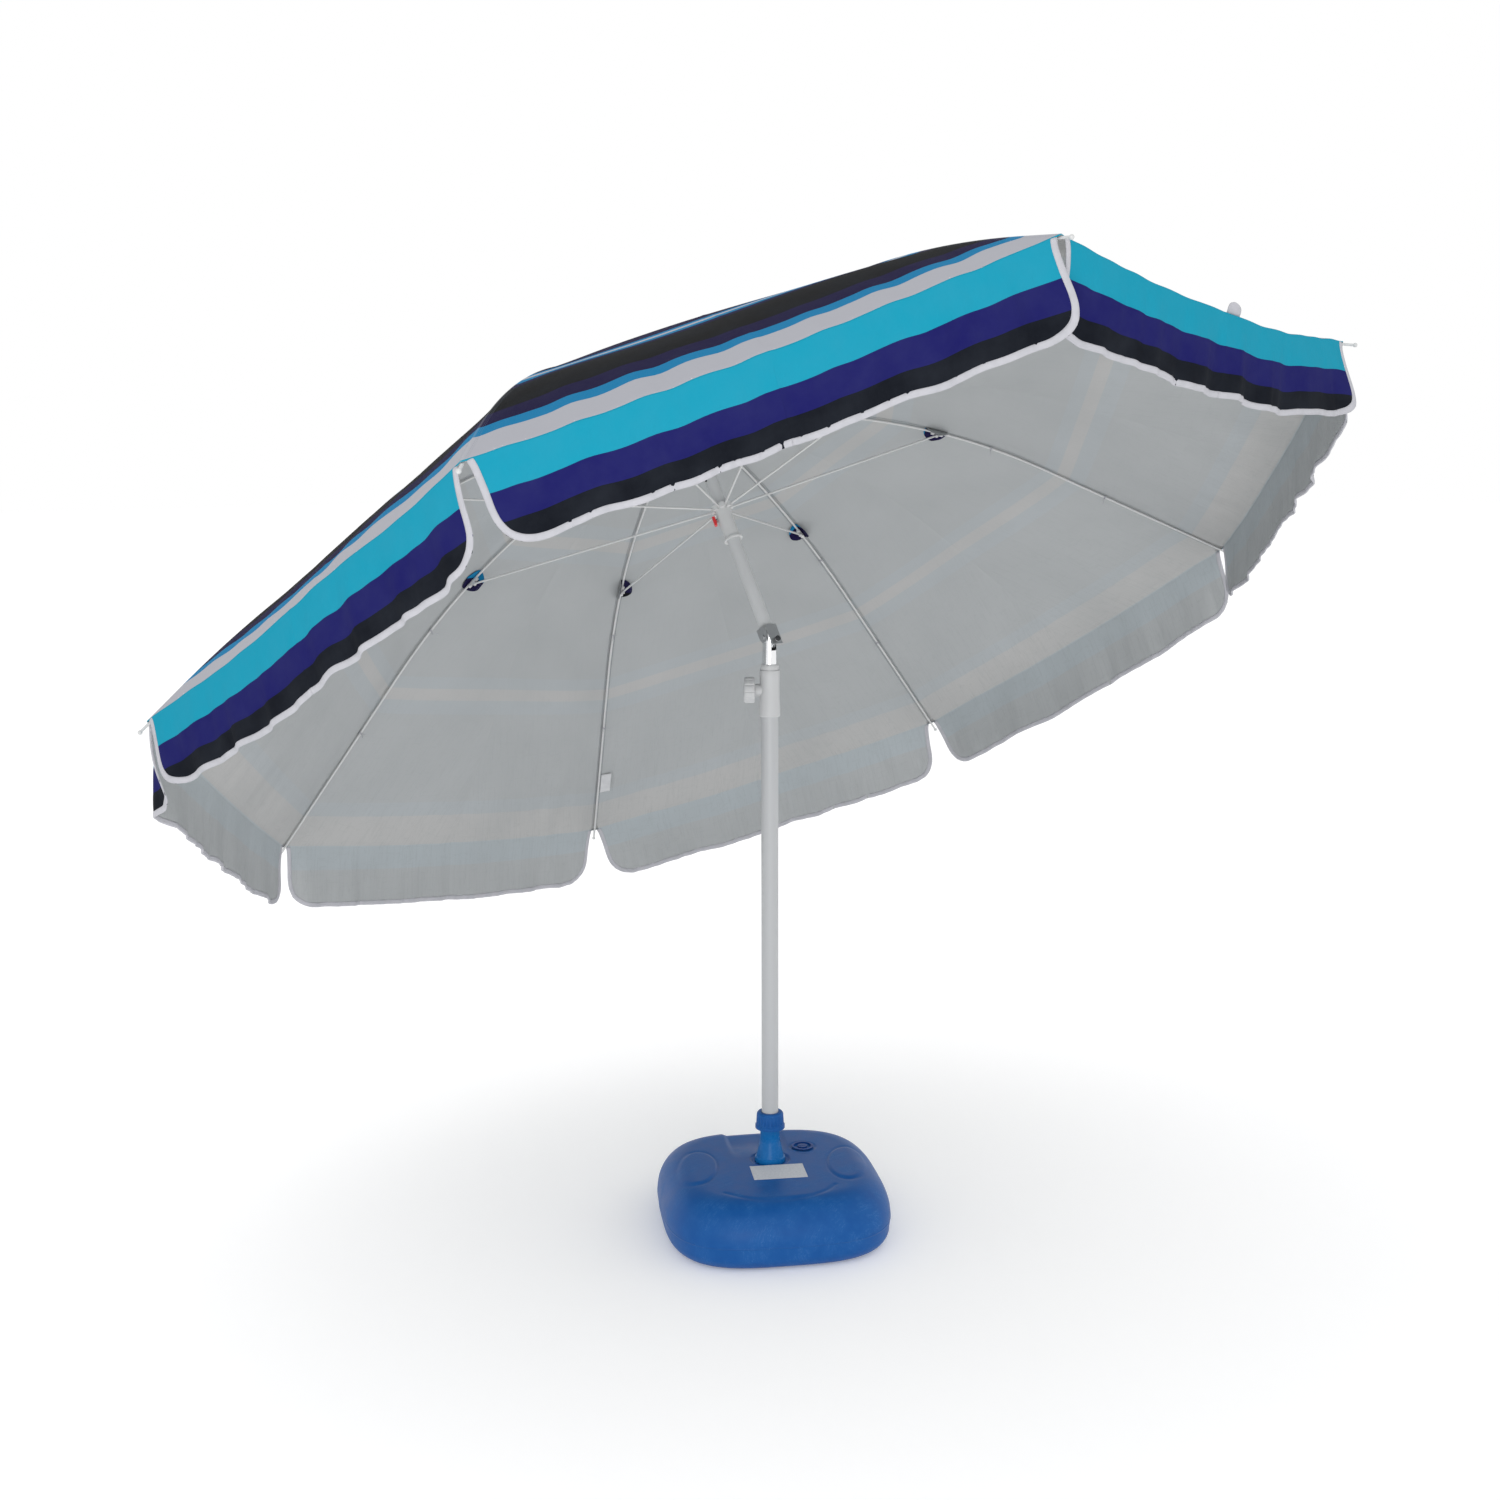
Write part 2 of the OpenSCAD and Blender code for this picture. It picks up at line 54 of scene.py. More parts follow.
SLOPE_IN, SLOPE_OUT = math.radians(10.5), math.radians(33)
BEND_FROM, BEND_LEN = 0.300, 0.450
BEND_R = BEND_LEN / (math.sin(SLOPE_OUT) - math.sin(SLOPE_IN))
BEND_Z = HUB - math.tan(SLOPE_IN) * (BEND_FROM - PIN_R)
BEND_MID = (BEND_FROM - BEND_R * math.sin(SLOPE_IN), BEND_Z - BEND_R * math.cos(SLOPE_IN))
BEND_TO = BEND_FROM + BEND_LEN
JOINT_R = 0.530             # the stretchers' brackets
JOINT_SLOPE = math.asin((JOINT_R - BEND_MID[0]) / BEND_R)
JOINT_AT = (BEND_MID[0] + BEND_R * math.sin(JOINT_SLOPE), BEND_MID[1] + BEND_R * math.cos(JOINT_SLOPE))
FLEX = dict(zip(range(1, RIBS + 1), (3.8, -0.9, 0.3, 1.5, 1.4, -0.1, 1.9, 8.8)))   # each rib's own bend, degrees
ARC_TO = {k: 1.040 if k > 6 or k == 1 else BEND_TO for k in range(1, RIBS + 1)}   # where its round part ends
HALF = RIM * math.sin(STEP / 2)   # half a gore's width at the rim
CLOTH = 0.0009              # thickness shown
LIFT = 0.0052               # the cloth's middle above a rib's centre line
# Droop of each gore's rim between its ribs; gore g lies between ribs g and g + 1
SAG = {g: 0.014 for g in range(1, RIBS + 1)} | {3: 0.007, 4: 0.008, 6: 0.034, 7: 0.010, 8: 0.010}
BILLOW = {6: -0.006, 7: 0.010}   # how far these gores stand up between their ribs
JOIN = 0.00001              # gap left between two halves of a gore
DEPTH = 0.125               # depth of the valance
LEAN = 0.75                 # the valance leans uphill by this share of its rim's slope
BASE_YAW = math.radians(61)
BASE_SHIFT = 0.022          # the base's middle, off the pole's axis
BASE_HALF = 0.216           # half its width
BASE_TOP = 0.122            # its height

AZ = {k: math.radians(258.75 - 45 * (k - 1)) for k in range(1, RIBS + 1)}   # each rib's way out from the pole


def upper(p):
    """Points of the leaning pole's frame, in the row frame."""
    x, y, z = p[..., 0], p[..., 1], p[..., 2]
    c, s = math.cos(TILT), math.sin(TILT)
    return np.stack([x * c - z * s, y, x * s + z * c + PIVOT], -1)


def sector(k, p):
    """Points beside rib k (outwards, sideways, up the pole), in the row frame."""
    c, s = math.cos(AZ[k]), math.sin(AZ[k])
    x, y = p[..., 0], p[..., 1]
    return upper(np.stack([x * c - y * s, x * s + y * c, p[..., 2]], -1))


def rib_z(k, r):
    """Height of rib k's centre line, up the leaning pole from the tilt pin."""
    r = np.asarray(r, float)
    end = SLOPE_OUT + math.radians(FLEX[k])
    radius = (ARC_TO[k] - JOINT_R) / (math.sin(end) - math.sin(JOINT_SLOPE))
    mid = (JOINT_AT[0] - radius * math.sin(JOINT_SLOPE), JOINT_AT[1] - radius * math.cos(JOINT_SLOPE))
    straight_in = HUB - math.tan(SLOPE_IN) * (r - PIN_R)
    arc_in = BEND_MID[1] + np.sqrt(np.maximum(BEND_R ** 2 - (r - BEND_MID[0]) ** 2, 0))
    arc_out = mid[1] + np.sqrt(np.maximum(radius ** 2 - (r - mid[0]) ** 2, 0))
    straight_out = mid[1] + radius * math.cos(end) - math.tan(end) * (r - ARC_TO[k])
    return np.where(r <= BEND_FROM, straight_in, np.where(r >= ARC_TO[k], straight_out,
                    np.where(r <= JOINT_R, arc_in, arc_out)))


run_r = np.linspace(0, RIM, 3000)
run_length = np.concatenate([[0], np.cumsum(np.hypot(np.diff(run_r), np.diff(rib_z(6, run_r))))])


def from_rim(r):
    """Distance along a rib from the rim, negative on the canopy."""
    return np.interp(r, run_r, run_length) - run_length[-1]


def beside(k, side):
    """The rib on that side of rib k: side -1 is towards rib k + 1."""
    return (k + RIBS - 2) % RIBS + 1 if side > 0 else k % RIBS + 1


# ---------- materials ----------

def srgb(*rgb):
    """A colour given as 0-255 display values, as the shader's linear colour."""
    c = np.array(rgb) / 255
    c = np.where(c <= 0.04045, c / 12.92, ((c + 0.055) / 1.055) ** 2.4)
    return (*[float(v) for v in c], 1.0)


class Shader:
    """A Principled material that is built up node by node."""

    def __init__(self, name, colour=(0.8, 0.8, 0.8, 1), rough=0.5, metal=0.0, **sockets):
        self.mat = bpy.data.materials.new(name)
        self.mat.use_nodes = True
        self.tree = self.mat.node_tree
        self.out = next(n for n in self.tree.nodes if n.type == "BSDF_PRINCIPLED")
        self.set("Base Color", colour)
        self.set("Roughness", rough)
        self.set("Metallic", metal)
        for key, value in sockets.items():
            self.set(key.replace("_", " "), value)
        self.mat.diffuse_color = colour if isinstance(colour, tuple) else (0.5, 0.5, 0.5, 1)

    def set(self, socket, value):
        self.put(self.out.inputs[socket], value)

    def put(self, socket, value):
        if isinstance(value, bpy.types.NodeSocket):
            self.tree.links.new(value, socket)
        elif value is not None:
            socket.default_value = value

    def node(self, kind, **props):
        n = self.tree.nodes.new(kind)
        for key, value in props.items():
            setattr(n, key, value)
        return n

    def where(self, kind="Object"):
        return self.node("ShaderNodeTexCoord").outputs[kind]

    def uv(self, name="cloth"):
        return self.node("ShaderNodeUVMap", uv_map=name).outputs["UV"]

    def scaled(self, vector, scale, turn=(0, 0, 0)):
        n = self.node("ShaderNodeMapping")
        self.put(n.inputs["Vector"], vector)
        n.inputs["Scale"].default_value = scale if hasattr(scale, "__len__") else (scale,) * 3
        n.inputs["Rotation"].default_value = turn
        return n.outputs["Vector"]

    def noise(self, vector, scale=5.0, detail=3.0, rough=0.5, distortion=0.0):
        n = self.node("ShaderNodeTexNoise")
        self.put(n.inputs["Vector"], vector)
        n.inputs["Scale"].default_value = scale
        n.inputs["Detail"].default_value = detail
        n.inputs["Roughness"].default_value = rough
        n.inputs["Distortion"].default_value = distortion
        return n.outputs["Fac"]

    def bands(self, vector, scale, direction="X"):
        n = self.node("ShaderNodeTexWave", wave_type="BANDS", bands_direction=direction)
        self.put(n.inputs["Vector"], vector)
        n.inputs["Scale"].default_value = scale
        return n.outputs["Fac"]

    def split(self, vector):
        n = self.node("ShaderNodeSeparateXYZ")
        self.put(n.inputs[0], vector)
        return n.outputs["X"], n.outputs["Y"], n.outputs["Z"]

    def math(self, what, a, b=0.5, c=0.0):
        n = self.node("ShaderNodeMath", operation=what)
        self.put(n.inputs[0], a)
        self.put(n.inputs[1], b)
        self.put(n.inputs[2], c)
        return n.outputs[0]

    def span(self, value, low, high, to_low=0.0, to_high=1.0):
        n = self.node("ShaderNodeMapRange")
        self.put(n.inputs["Value"], value)
        for key, v in (("From Min", low), ("From Max", high), ("To Min", to_low), ("To Max", to_high)):
            n.inputs[key].default_value = v
        return n.outputs["Result"]

    def ramp(self, fac, stops, kind="LINEAR"):
        n = self.node("ShaderNodeValToRGB")
        self.put(n.inputs["Fac"], fac)
        n.color_ramp.interpolation = kind
        e = n.color_ramp.elements
        while len(e) > 1:
            e.remove(e[-1])
        e[0].position, e[0].color = stops[0]
        for pos, colour in stops[1:]:
            e.new(pos).color = colour
        return n.outputs["Color"]

    def mix(self, a, b, fac=0.5):
        n = self.node("ShaderNodeMix", data_type="RGBA")
        self.put(n.inputs["Factor"], fac)
        self.put(n.inputs["A"], a)
        self.put(n.inputs["B"], b)
        return n.outputs["Result"]

    def bump(self, height, distance=0.001, strength=1.0, under=None):
        n = self.node("ShaderNodeBump")
        self.put(n.inputs["Height"], height)
        n.inputs["Strength"].default_value = strength
        n.inputs["Distance"].default_value = distance
        if under is not None:
            self.put(n.inputs["Normal"], under)
        return n.outputs["Normal"]


WHITE = srgb(170, 171, 178)
TURQUOISE = srgb(24, 142, 168)
ROYAL = srgb(27, 27, 90)
CHARCOAL = srgb(20, 23, 30)
MIDBLUE = srgb(24, 118, 164)
PURPLE = srgb(25, 20, 58)
BLACK = srgb(16, 17, 19)

# Inner edge of each colour band, in metres from the rim: negative on the canopy, positive on the valance
STRIPES = [
    (-1.30, PURPLE), (-1.02, BLACK), (-0.90, PURPLE), (-0.85, MIDBLUE), (-0.81, WHITE), (-0.775, MIDBLUE),
    (-0.735, PURPLE), (-0.67, BLACK), (-0.51, PURPLE), (-0.43, MIDBLUE), (-0.40, WHITE), (-0.373, MIDBLUE),
    (-0.335, PURPLE), (-0.30, BLACK), (-0.165, PURPLE), (-0.116, MIDBLUE), (-0.080, WHITE), (-0.006, TURQUOISE),
    (0.044, ROYAL), (0.088, CHARCOAL)]
SPAN_LOW, SPAN_HIGH = -1.32, 0.14


def stripe_colour(s, along):
    """The woven bands' colour; each band runs from its own edge out to the next."""
    fac = s.span(along, SPAN_LOW, SPAN_HIGH)
    stops = [((edge - SPAN_LOW) / (SPAN_HIGH - SPAN_LOW), colour) for edge, colour in STRIPES]
    return s.ramp(fac, stops, "CONSTANT")


def weave(s, uv, under=None):
    """Plain weave from two crossed sets of threads, about 0.55 mm apart."""
    warp = s.bands(uv, 290, "X")
    weft = s.bands(uv, 260, "Y")
    return s.bump(s.math("MULTIPLY", warp, weft), 0.00012, 0.55, under)


def outer_cloth():
    """Striped outside of the canopy."""
    s = Shader("cloth_striped", rough=0.85, Specular_IOR_Level=0.05)
    uv = s.uv()
    across, along, _ = s.split(uv)
    wobble = s.noise(s.scaled(uv, (9, 9, 9)), 1.0, 2.0)
    along = s.math("ADD", along, s.span(wobble, 0.3, 0.7, -0.0008, 0.0008))
    colour = stripe_colour(s, along)
    # dye and light wear: soft lighter clouds, and a little fading where the cloth runs over a rib
    clouds = s.noise(s.scaled(uv, (14, 14, 14)), 1.0, 5.0, 0.6)
    colour = s.mix(colour, s.mix(colour, srgb(150, 160, 175), 0.035), s.span(clouds, 0.35, 0.8))
    rib = s.span(s.math("ABSOLUTE", across), 0.0, 0.004, 1.0, 0.0)
    colour = s.mix(colour, s.mix(colour, srgb(190, 195, 200), 0.18), rib)
    # double stitching along the seam and under the rim
    for off in (0.0055, 0.0085):
        near = s.math("COMPARE", s.math("ABSOLUTE", across), off, 0.0005)
        dash = s.math("GREATER_THAN", s.bands(uv, 55, "Y"), 0.35)
        colour = s.mix(colour, s.mix(colour, srgb(120, 128, 140), 0.35), s.math("MULTIPLY", near, dash))
    s.set("Base Color", colour)
    s.set("Roughness", s.span(clouds, 0.3, 0.7, 0.76, 0.88))
    puckers = s.noise(s.scaled(uv, (38, 9, 1)), 1.0, 3.0, 0.55)
    s.set("Normal", weave(s, uv, s.bump(puckers, 0.0022, 0.35)))
    return s.mat


def inner_cloth():
    """Silver-coated inside of the canopy. The stripes show faintly in its colour, partly as the dye under the thin
    coating and partly as painted light coming through the cloth, and its creases carry painted shade.
    """
    s = Shader("cloth_silver", rough=0.55, metal=0.1, Specular_IOR_Level=0.35)
    uv = s.uv()
    across, along, _ = s.split(uv)
    seen = stripe_colour(s, along)
    light = s.node("ShaderNodeRGBToBW")
    s.put(light.inputs[0], seen)
    # darker under the dark bands, cool under the turquoise, paler under the white: the dye under the coating together
    # with painted light shining through the cloth
    dye_and_backlight_tones = [(0.0, srgb(167, 170, 171)), (0.25, srgb(168, 171, 173)),
             (0.5, srgb(166, 174, 178)), (0.9, srgb(176, 176, 175))]
    colour = s.ramp(s.span(light.outputs[0], 0.0, 0.45), dye_and_backlight_tones)
    # long fine creases of the coating, running out from the hub, and a few across them, which raise the bumps; along
    # their lines the colour is darkened as painted shade in the creases
    creases = s.noise(s.scaled(uv, (120, 5, 1), (0, 0, 0.12)), 1.0, 5.0, 0.6, 0.3)
    crease_shade_lines = s.span(s.math("ABSOLUTE", s.math("SUBTRACT", creases, 0.5)), 0.0, 0.016, 1.0, 0.0)
    cross = s.noise(s.scaled(uv, (7, 42, 1), (0, 0, -0.35)), 1.0, 4.0, 0.55, 0.3)
    cross_crease_shade_lines = s.span(s.math("ABSOLUTE", s.math("SUBTRACT", cross, 0.5)), 0.0, 0.010, 1.0, 0.0)
    near_rim = s.span(along, -0.45, 0.02, 0.25, 1.0)
    both = s.math("MULTIPLY", s.math("MAXIMUM", crease_shade_lines, s.math("MULTIPLY", cross_crease_shade_lines, 0.6)), near_rim)
    # painted shade: the colour is darkened along the crease lines, most towards the rim
    colour = s.mix(colour, s.mix(colour, srgb(128, 132, 134), 0.30), both)
    clouds = s.noise(s.scaled(uv, (5, 5, 5)), 1.0, 4.0)
    colour = s.mix(colour, s.mix(colour, srgb(150, 154, 155), 0.30), s.span(clouds, 0.35, 0.75))
    # a thin darker line 6.5 mm out on each side of every rib
    seam = s.math("COMPARE", s.math("ABSOLUTE", across), 0.0065, 0.0006)
    colour = s.mix(colour, srgb(104, 109, 114), s.math("MULTIPLY", seam, 0.6))
    s.set("Base Color", colour)
    s.set("Roughness", s.span(clouds, 0.3, 0.7, 0.5, 0.62))
    height = s.math("ADD", s.math("MULTIPLY", creases, near_rim), s.math("MULTIPLY", cross, 0.4))
    s.set("Normal", weave(s, uv, s.bump(height, 0.0011, 0.45)))
    return s.mat


def tape_cloth(name="tape_white", colour=srgb(184, 184, 190)):
    """Narrow woven tape, ribbed on the slant."""
    s = Shader(name, colour, 0.85, Sheen_Weight=0.05, Sheen_Roughness=0.5, Specular_IOR_Level=0.2)
    at = s.where()
    clouds = s.noise(at, 60, 3.0)
    s.set("Base Color", s.mix(colour, s.mix(colour, srgb(150, 154, 158), 0.3), s.span(clouds, 0.4, 0.8)))
    ribs = s.bands(s.scaled(at, 1, (0.3, 0.5, 0.8)), 420, "DIAGONAL")
    s.set("Normal", s.bump(ribs, 0.0002, 0.5))
    return s.mat


def plastic(name, colour, rough):
    """Moulded plastic: a fine grain, slow change of gloss, and faint flow marks."""
    s = Shader(name, colour, rough, Specular_IOR_Level=0.45)
    at = s.where()
    slow = s.noise(at, 22, 3.0)
    s.set("Roughness", s.span(slow, 0.3, 0.7, rough - 0.06, rough + 0.08))
    dull = s.mix(colour, (0.75, 0.78, 0.8, 1), 0.07)
    s.set("Base Color", s.mix(colour, dull, s.span(s.noise(at, 9, 5.0, 0.65), 0.4, 0.75)))
    s.set("Normal", s.bump(s.noise(at, 900, 3.0), 0.00010, 0.6))
    return s.mat


def paint(name, colour, rough=0.38):
    """Powder coat: orange peel, faint scuffs along the tube."""
    s = Shader(name, colour, rough, Specular_IOR_Level=0.5, Coat_Weight=0.15, Coat_Roughness=0.3)
    at = s.where()
    peel = s.noise(at, 700, 2.0)
    scuff = s.noise(s.scaled(at, (60, 60, 4)), 1.0, 5.0, 0.7)
    s.set("Base Color", s.mix(colour, s.mix(colour, (0.35, 0.36, 0.37, 1), 0.22), s.span(scuff, 0.6, 0.85)))
    s.set("Roughness", s.span(scuff, 0.3, 0.8, rough - 0.05, rough + 0.14))
    s.set("Normal", s.bump(peel, 0.00008, 0.5))
    return s.mat


def metal(name, colour, rough, brushed=0.0):
    """Bare metal with smudges, and drawn streaks where it is brushed."""
    s = Shader(name, colour, rough, 1.0)
    at = s.where()
    smudge = s.noise(at, 70, 4.0, 0.6)
    s.set("Roughness", s.span(smudge, 0.3, 0.75, rough, rough + 0.10))
    s.set("Base Color", s.mix(colour, s.mix(colour, (0.25, 0.25, 0.26, 1), 0.25), s.span(smudge, 0.55, 0.85)))
    if brushed:
        streaks = s.noise(s.scaled(at, (900, 900, 40)), 1.0, 3.0)
        s.set("Normal", s.bump(streaks, 0.00006, brushed))
    return s.mat


def moulded_blue(name, colour, rough):
    """Blow-moulded polyethylene: mottled gloss, fine pits and scratches."""
    s = Shader(name, colour, rough, Specular_IOR_Level=0.16, Coat_Weight=0.02, Coat_Roughness=0.3)
    at = s.where()
    mottle = s.noise(at, 26, 6.0, 0.62)
    pale = s.mix(colour, srgb(60, 118, 180), 0.14)
    deep = s.mix(colour, srgb(16, 62, 128), 0.2)
    tint = s.mix(deep, pale, s.span(mottle, 0.32, 0.7))
    scratch = s.noise(s.scaled(at, (240, 18, 30), (0.2, 0.1, 0.9)), 1.0, 4.0, 0.7)
    line = s.span(s.math("ABSOLUTE", s.math("SUBTRACT", scratch, 0.5)), 0.0, 0.012, 1.0, 0.0)
    tint = s.mix(tint, s.mix(tint, srgb(120, 165, 210), 0.35), s.math("MULTIPLY", line, s.span(mottle, 0.45, 0.7)))
    s.set("Base Color", tint)
    s.set("Roughness", s.span(mottle, 0.3, 0.7, rough - 0.07, rough + 0.1))
    pits = s.noise(at, 480, 4.0, 0.6)
    s.set("Normal", s.bump(pits, 0.00018, 0.6, s.bump(mottle, 0.0009, 0.35)))
    return s.mat


def paper():
    """A blank paper sticker."""
    s = Shader("sticker_paper", srgb(205, 208, 212), 0.6)
    at = s.where()
    fibre = s.noise(at, 260, 4.0, 0.6)
    s.set("Base Color", s.mix(srgb(206, 209, 213), srgb(188, 192, 197), s.span(fibre, 0.35, 0.7)))
    s.set("Normal", s.bump(fibre, 0.00008, 0.5))
    return s.mat


M = {
    "outer": outer_cloth(), "inner": inner_cloth(), "tape": tape_cloth(),
    # painted light: the upper tube's paint is a lighter copy of the lower pole's paint, to offset the shade under the
    # canopy
    "pole": paint("paint_white_brightened_for_shade", srgb(196, 198, 199)), "pole_low": paint("paint_pole", srgb(176, 178, 180)),
    "rib": paint("paint_rib", srgb(198, 199, 199), 0.42),
    "white": plastic("plastic_white", srgb(188, 189, 190), 0.4),
    # painted light: the runner's plastic is a lighter copy of the other white plastic, to offset the shade under the
    # canopy
    "runner": plastic("plastic_runner_brightened_for_shade", srgb(203, 204, 204), 0.4),
    "dark": plastic("plastic_dark", srgb(30, 31, 34), 0.45),
    "red": plastic("plastic_red", srgb(212, 18, 20), 0.35),
    "blue": moulded_blue("polyethylene_blue", srgb(12, 80, 148), 0.42),
    "neck": moulded_blue("polyethylene_neck", srgb(8, 102, 168), 0.28),
    "navy": moulded_blue("polyethylene_navy", srgb(18, 60, 128), 0.4),
    "chrome": metal("chrome_bright", (0.80, 0.81, 0.82, 1), 0.07),
    "zinc": metal("steel_zinc", (0.55, 0.56, 0.57, 1), 0.28),
    "steel": metal("steel_pressed", (0.50, 0.51, 0.52, 1), 0.3, 0.5),
    "black_steel": metal("steel_black", (0.035, 0.035, 0.038, 1), 0.4),
    "paper": paper(), "label": tape_cloth("label_white", srgb(205, 206, 208)),
}

LOOK = {
    "base_neck": "neck", "grip_ring": "dark", "collar_nut": "blue", "fill_cap": "navy", "fill_seal": "dark",
    "base_label": "paper", "ballast": "blue", "lower_tube": "pole_low", "pole_foot": "dark", "height_clamp": "white",
    "clamp_nut": "zinc", "clamp_knob": "white", "knob_screw": "zinc", "knob_cap": "dark", "inner_tube": "pole_low",
    "inner_guide": "dark", "pole_bush": "white", "lower_knuckle": "chrome", "tilt_pin": "zinc",
    "tilt_fork": "steel", "tilt_button": "dark", "tilt_spring": "zinc", "upper_tube": "pole",
    "stop_pin": "black_steel", "top_hub": "white", "hub_wire": "zinc", "finial": "white", "runner": "runner",
    "runner_wire": "zinc", "latch_button": "red", "latch_spring": "zinc"}
for name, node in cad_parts.items():
    look = LOOK.get(name) or ("rib" if name.startswith(("rib_", "stretcher_")) else "outer")
    node.data.materials.clear()
    node.data.materials.append(M[look])


# ---------- mesh helpers ----------

def piece(name, verts, faces, mats, index=None, uvs=None, smooth=True):
    mesh = bpy.data.meshes.new(name)
    mesh.from_pydata([tuple(v) for v in np.asarray(verts, float)], [], [tuple(int(i) for i in f) for f in faces])
    for m in mats:
        mesh.materials.append(m)
    if index is not None:
        mesh.polygons.foreach_set("material_index", np.asarray(index, np.int32))
    if uvs is not None:
        layer = mesh.uv_layers.new(name="cloth")
        loops = np.zeros(len(mesh.loops), np.int32)
        mesh.loops.foreach_get("vertex_index", loops)
        layer.data.foreach_set("uv", np.asarray(uvs, np.float32)[loops].ravel())
    mesh.polygons.foreach_set("use_smooth", np.full(len(mesh.polygons), smooth))
    mesh.update()
    obj = bpy.data.objects.new(name, mesh)
    bpy.context.scene.collection.objects.link(obj)
    return obj


def grid_faces(rows, cols, start=0, flip=False, wrap=False):
    """Faces of a grid of points, row by row."""
    last = cols if wrap else cols - 1
    i, j = np.meshgrid(np.arange(rows - 1), np.arange(last), indexing="ij")
    nxt = (j + 1) % cols
    a, b, c, d = i * cols + j, i * cols + nxt, (i + 1) * cols + nxt, (i + 1) * cols + j
    q = np.stack([a, b, c, d], -1).reshape(-1, 4) + start
    return q[:, ::-1] if flip else q


def border(rows, cols):
    """(row, column) of each point round a grid's border, in order."""
    loop = [(0, j) for j in range(cols)] + [(i, cols - 1) for i in range(1, rows)]
    return loop + [(rows - 1, j) for j in range(cols - 2, -1, -1)] + [(i, 0) for i in range(rows - 2, 0, -1)]


def edge_faces(rows, cols):
    """Faces that close the gap between a grid and a second one numbered after it."""
    m = rows * cols
    loop = [i * cols + j for i, j in border(rows, cols)]
    return [[two, one, m + one, m + two] for one, two in zip(loop, loop[1:] + loop[:1])]


def tube(path, radius, sides=8):
    """(points, faces) of a round tube along a path, closed at both ends."""
    path = np.asarray(path, float)
    n = len(path)
    t = np.gradient(path, axis=0)
    t /= np.linalg.norm(t, axis=1)[:, None]
    ref = np.array([0.0, 0.0, 1.0]) if abs(t[0][2]) < 0.9 else np.array([1.0, 0.0, 0.0])
    rings = []
    for p, d in zip(path, t):
        a = ref - d * (ref @ d)
        a /= np.linalg.norm(a)
        b = np.cross(d, a)
        ref = a
        ang = np.arange(sides) * 2 * math.pi / sides
        rings.append(p + radius * (np.cos(ang)[:, None] * a + np.sin(ang)[:, None] * b))
    verts = np.concatenate(rings)
    faces = [list(f) for f in grid_faces(n, sides, wrap=True)]
    faces.append(list(range(sides))[::-1])
    faces.append([(n - 1) * sides + i for i in range(sides)])
    return verts, faces


def joined(parts):
    """One (points, faces) out of several."""
    verts, faces, n = [], [], 0
    for v, f in parts:
        verts.append(v)
        faces += [[int(i) + n for i in face] for face in f]
        n += len(v)
    return np.concatenate(verts), faces


def waves(seed, x, y, length, count=7, spread=math.pi):
    """Smooth waves over x and y, of about that length, the same each run. A small spread keeps their crests along y."""
    rng = np.random.default_rng(seed)
    total = np.zeros(np.broadcast(x, y).shape)
    for _ in range(count):
        a = rng.uniform(-spread / 2, spread / 2)
        w = length * rng.uniform(0.65, 1.6)
        total += np.sin(2 * math.pi * (x * math.cos(a) + y * math.sin(a)) / w + rng.uniform(0, 2 * math.pi))
    return total / math.sqrt(count / 2)


# ---------- canopy ----------

def gore_of(k, side):
    """The gore on that side of rib k; side is -1 towards rib k + 1."""
    return k if side < 0 else (k - 2) % RIBS + 1


def place_in_gore(side, c):
    """Where in its gore, from 0 at the gore's first rib to 1 at the next."""
    return c / 2 if side < 0 else 1 - c / 2


def cloth_relief(g, u, r):
    """How far the cloth stands out from the plain ruled gore."""
    chord = 2 * r * math.sin(STEP / 2)
    x = (u - 0.5) * chord
    rib = np.minimum(u, 1 - u) * chord
    hold = 1 - np.exp(-rib / 0.05)
    broad = 0.0014 * waves(100 + g, x, r, 0.34) * hold
    rimward = np.clip((r - 0.78) / (RIM - 0.78), 0, 1) ** 2 * (1 - 0.55 * np.clip((r - 1.05) / (RIM - 1.05), 0, 1))
    folds = 0.0010 * waves(200 + g, x, 0.3 * r, 0.075, 9, 0.8) * rimward * (1 - np.exp(-rib / 0.02))
    pull = 0.0011 * waves(300 + g, rib * 0.25, r, 0.05, 5, 0.6) * np.exp(-rib / 0.05) * (1 - np.exp(-rib / 0.01))
    crease = 0.0005 * np.exp(-(x / 0.004) ** 2) * np.clip(r / 0.2, 0, 1)
    seam = 0.0006 * np.exp(-(rib / 0.004) ** 2)
    return broad + folds + pull + crease + seam


def canopy_point(k, side, c, r):
    """Cloth at share c of the way from rib k to the gore's middle, r from the pole's axis."""
    x = r * (1 - c / 2 * (1 - math.cos(STEP)))
    y = side * np.maximum(r * c / 2 * math.sin(STEP) - JOIN * (c > 0.999), 0)
    own, other = rib_z(k, r), rib_z(beside(k, side), r)
    g = gore_of(k, side)
    z = own * (1 - c / 2) + other * c / 2 + LIFT - SAG[g] * c * (2 - c) * (r / RIM) ** 4
    t = np.clip((r - 0.25) / (RIM - 0.25), 0, 1)
    z = z + BILLOW.get(g, 0) * c * (2 - c) * 4.2 * t * t * (1 - t) ** 0.8
    rise = cloth_relief(g, place_in_gore(side, c), r)
    slope = np.arctan2(rib_z(6, r - 0.001) - rib_z(6, r + 0.001), 0.002)
    # straight out from the hub, so that both halves of a gore agree
    out = 1 + rise * np.sin(slope) / np.hypot(x, y)
    return sector(k, np.stack([x * out, y * out, z + rise * np.cos(slope)], -1))


# Outline of the valance beside a rib: the slit, the rounded corner and the hem, along the rim and down
CORNER_X = np.array([0, 7.5, 9, 11, 13, 15, 16.5, 20, 30, 46, 64, 80]) / 1000
CORNER_D = np.array([1, 1, 3, 10, 27, 45, 70, 88, 106, 118, 124, 125]) / 1000
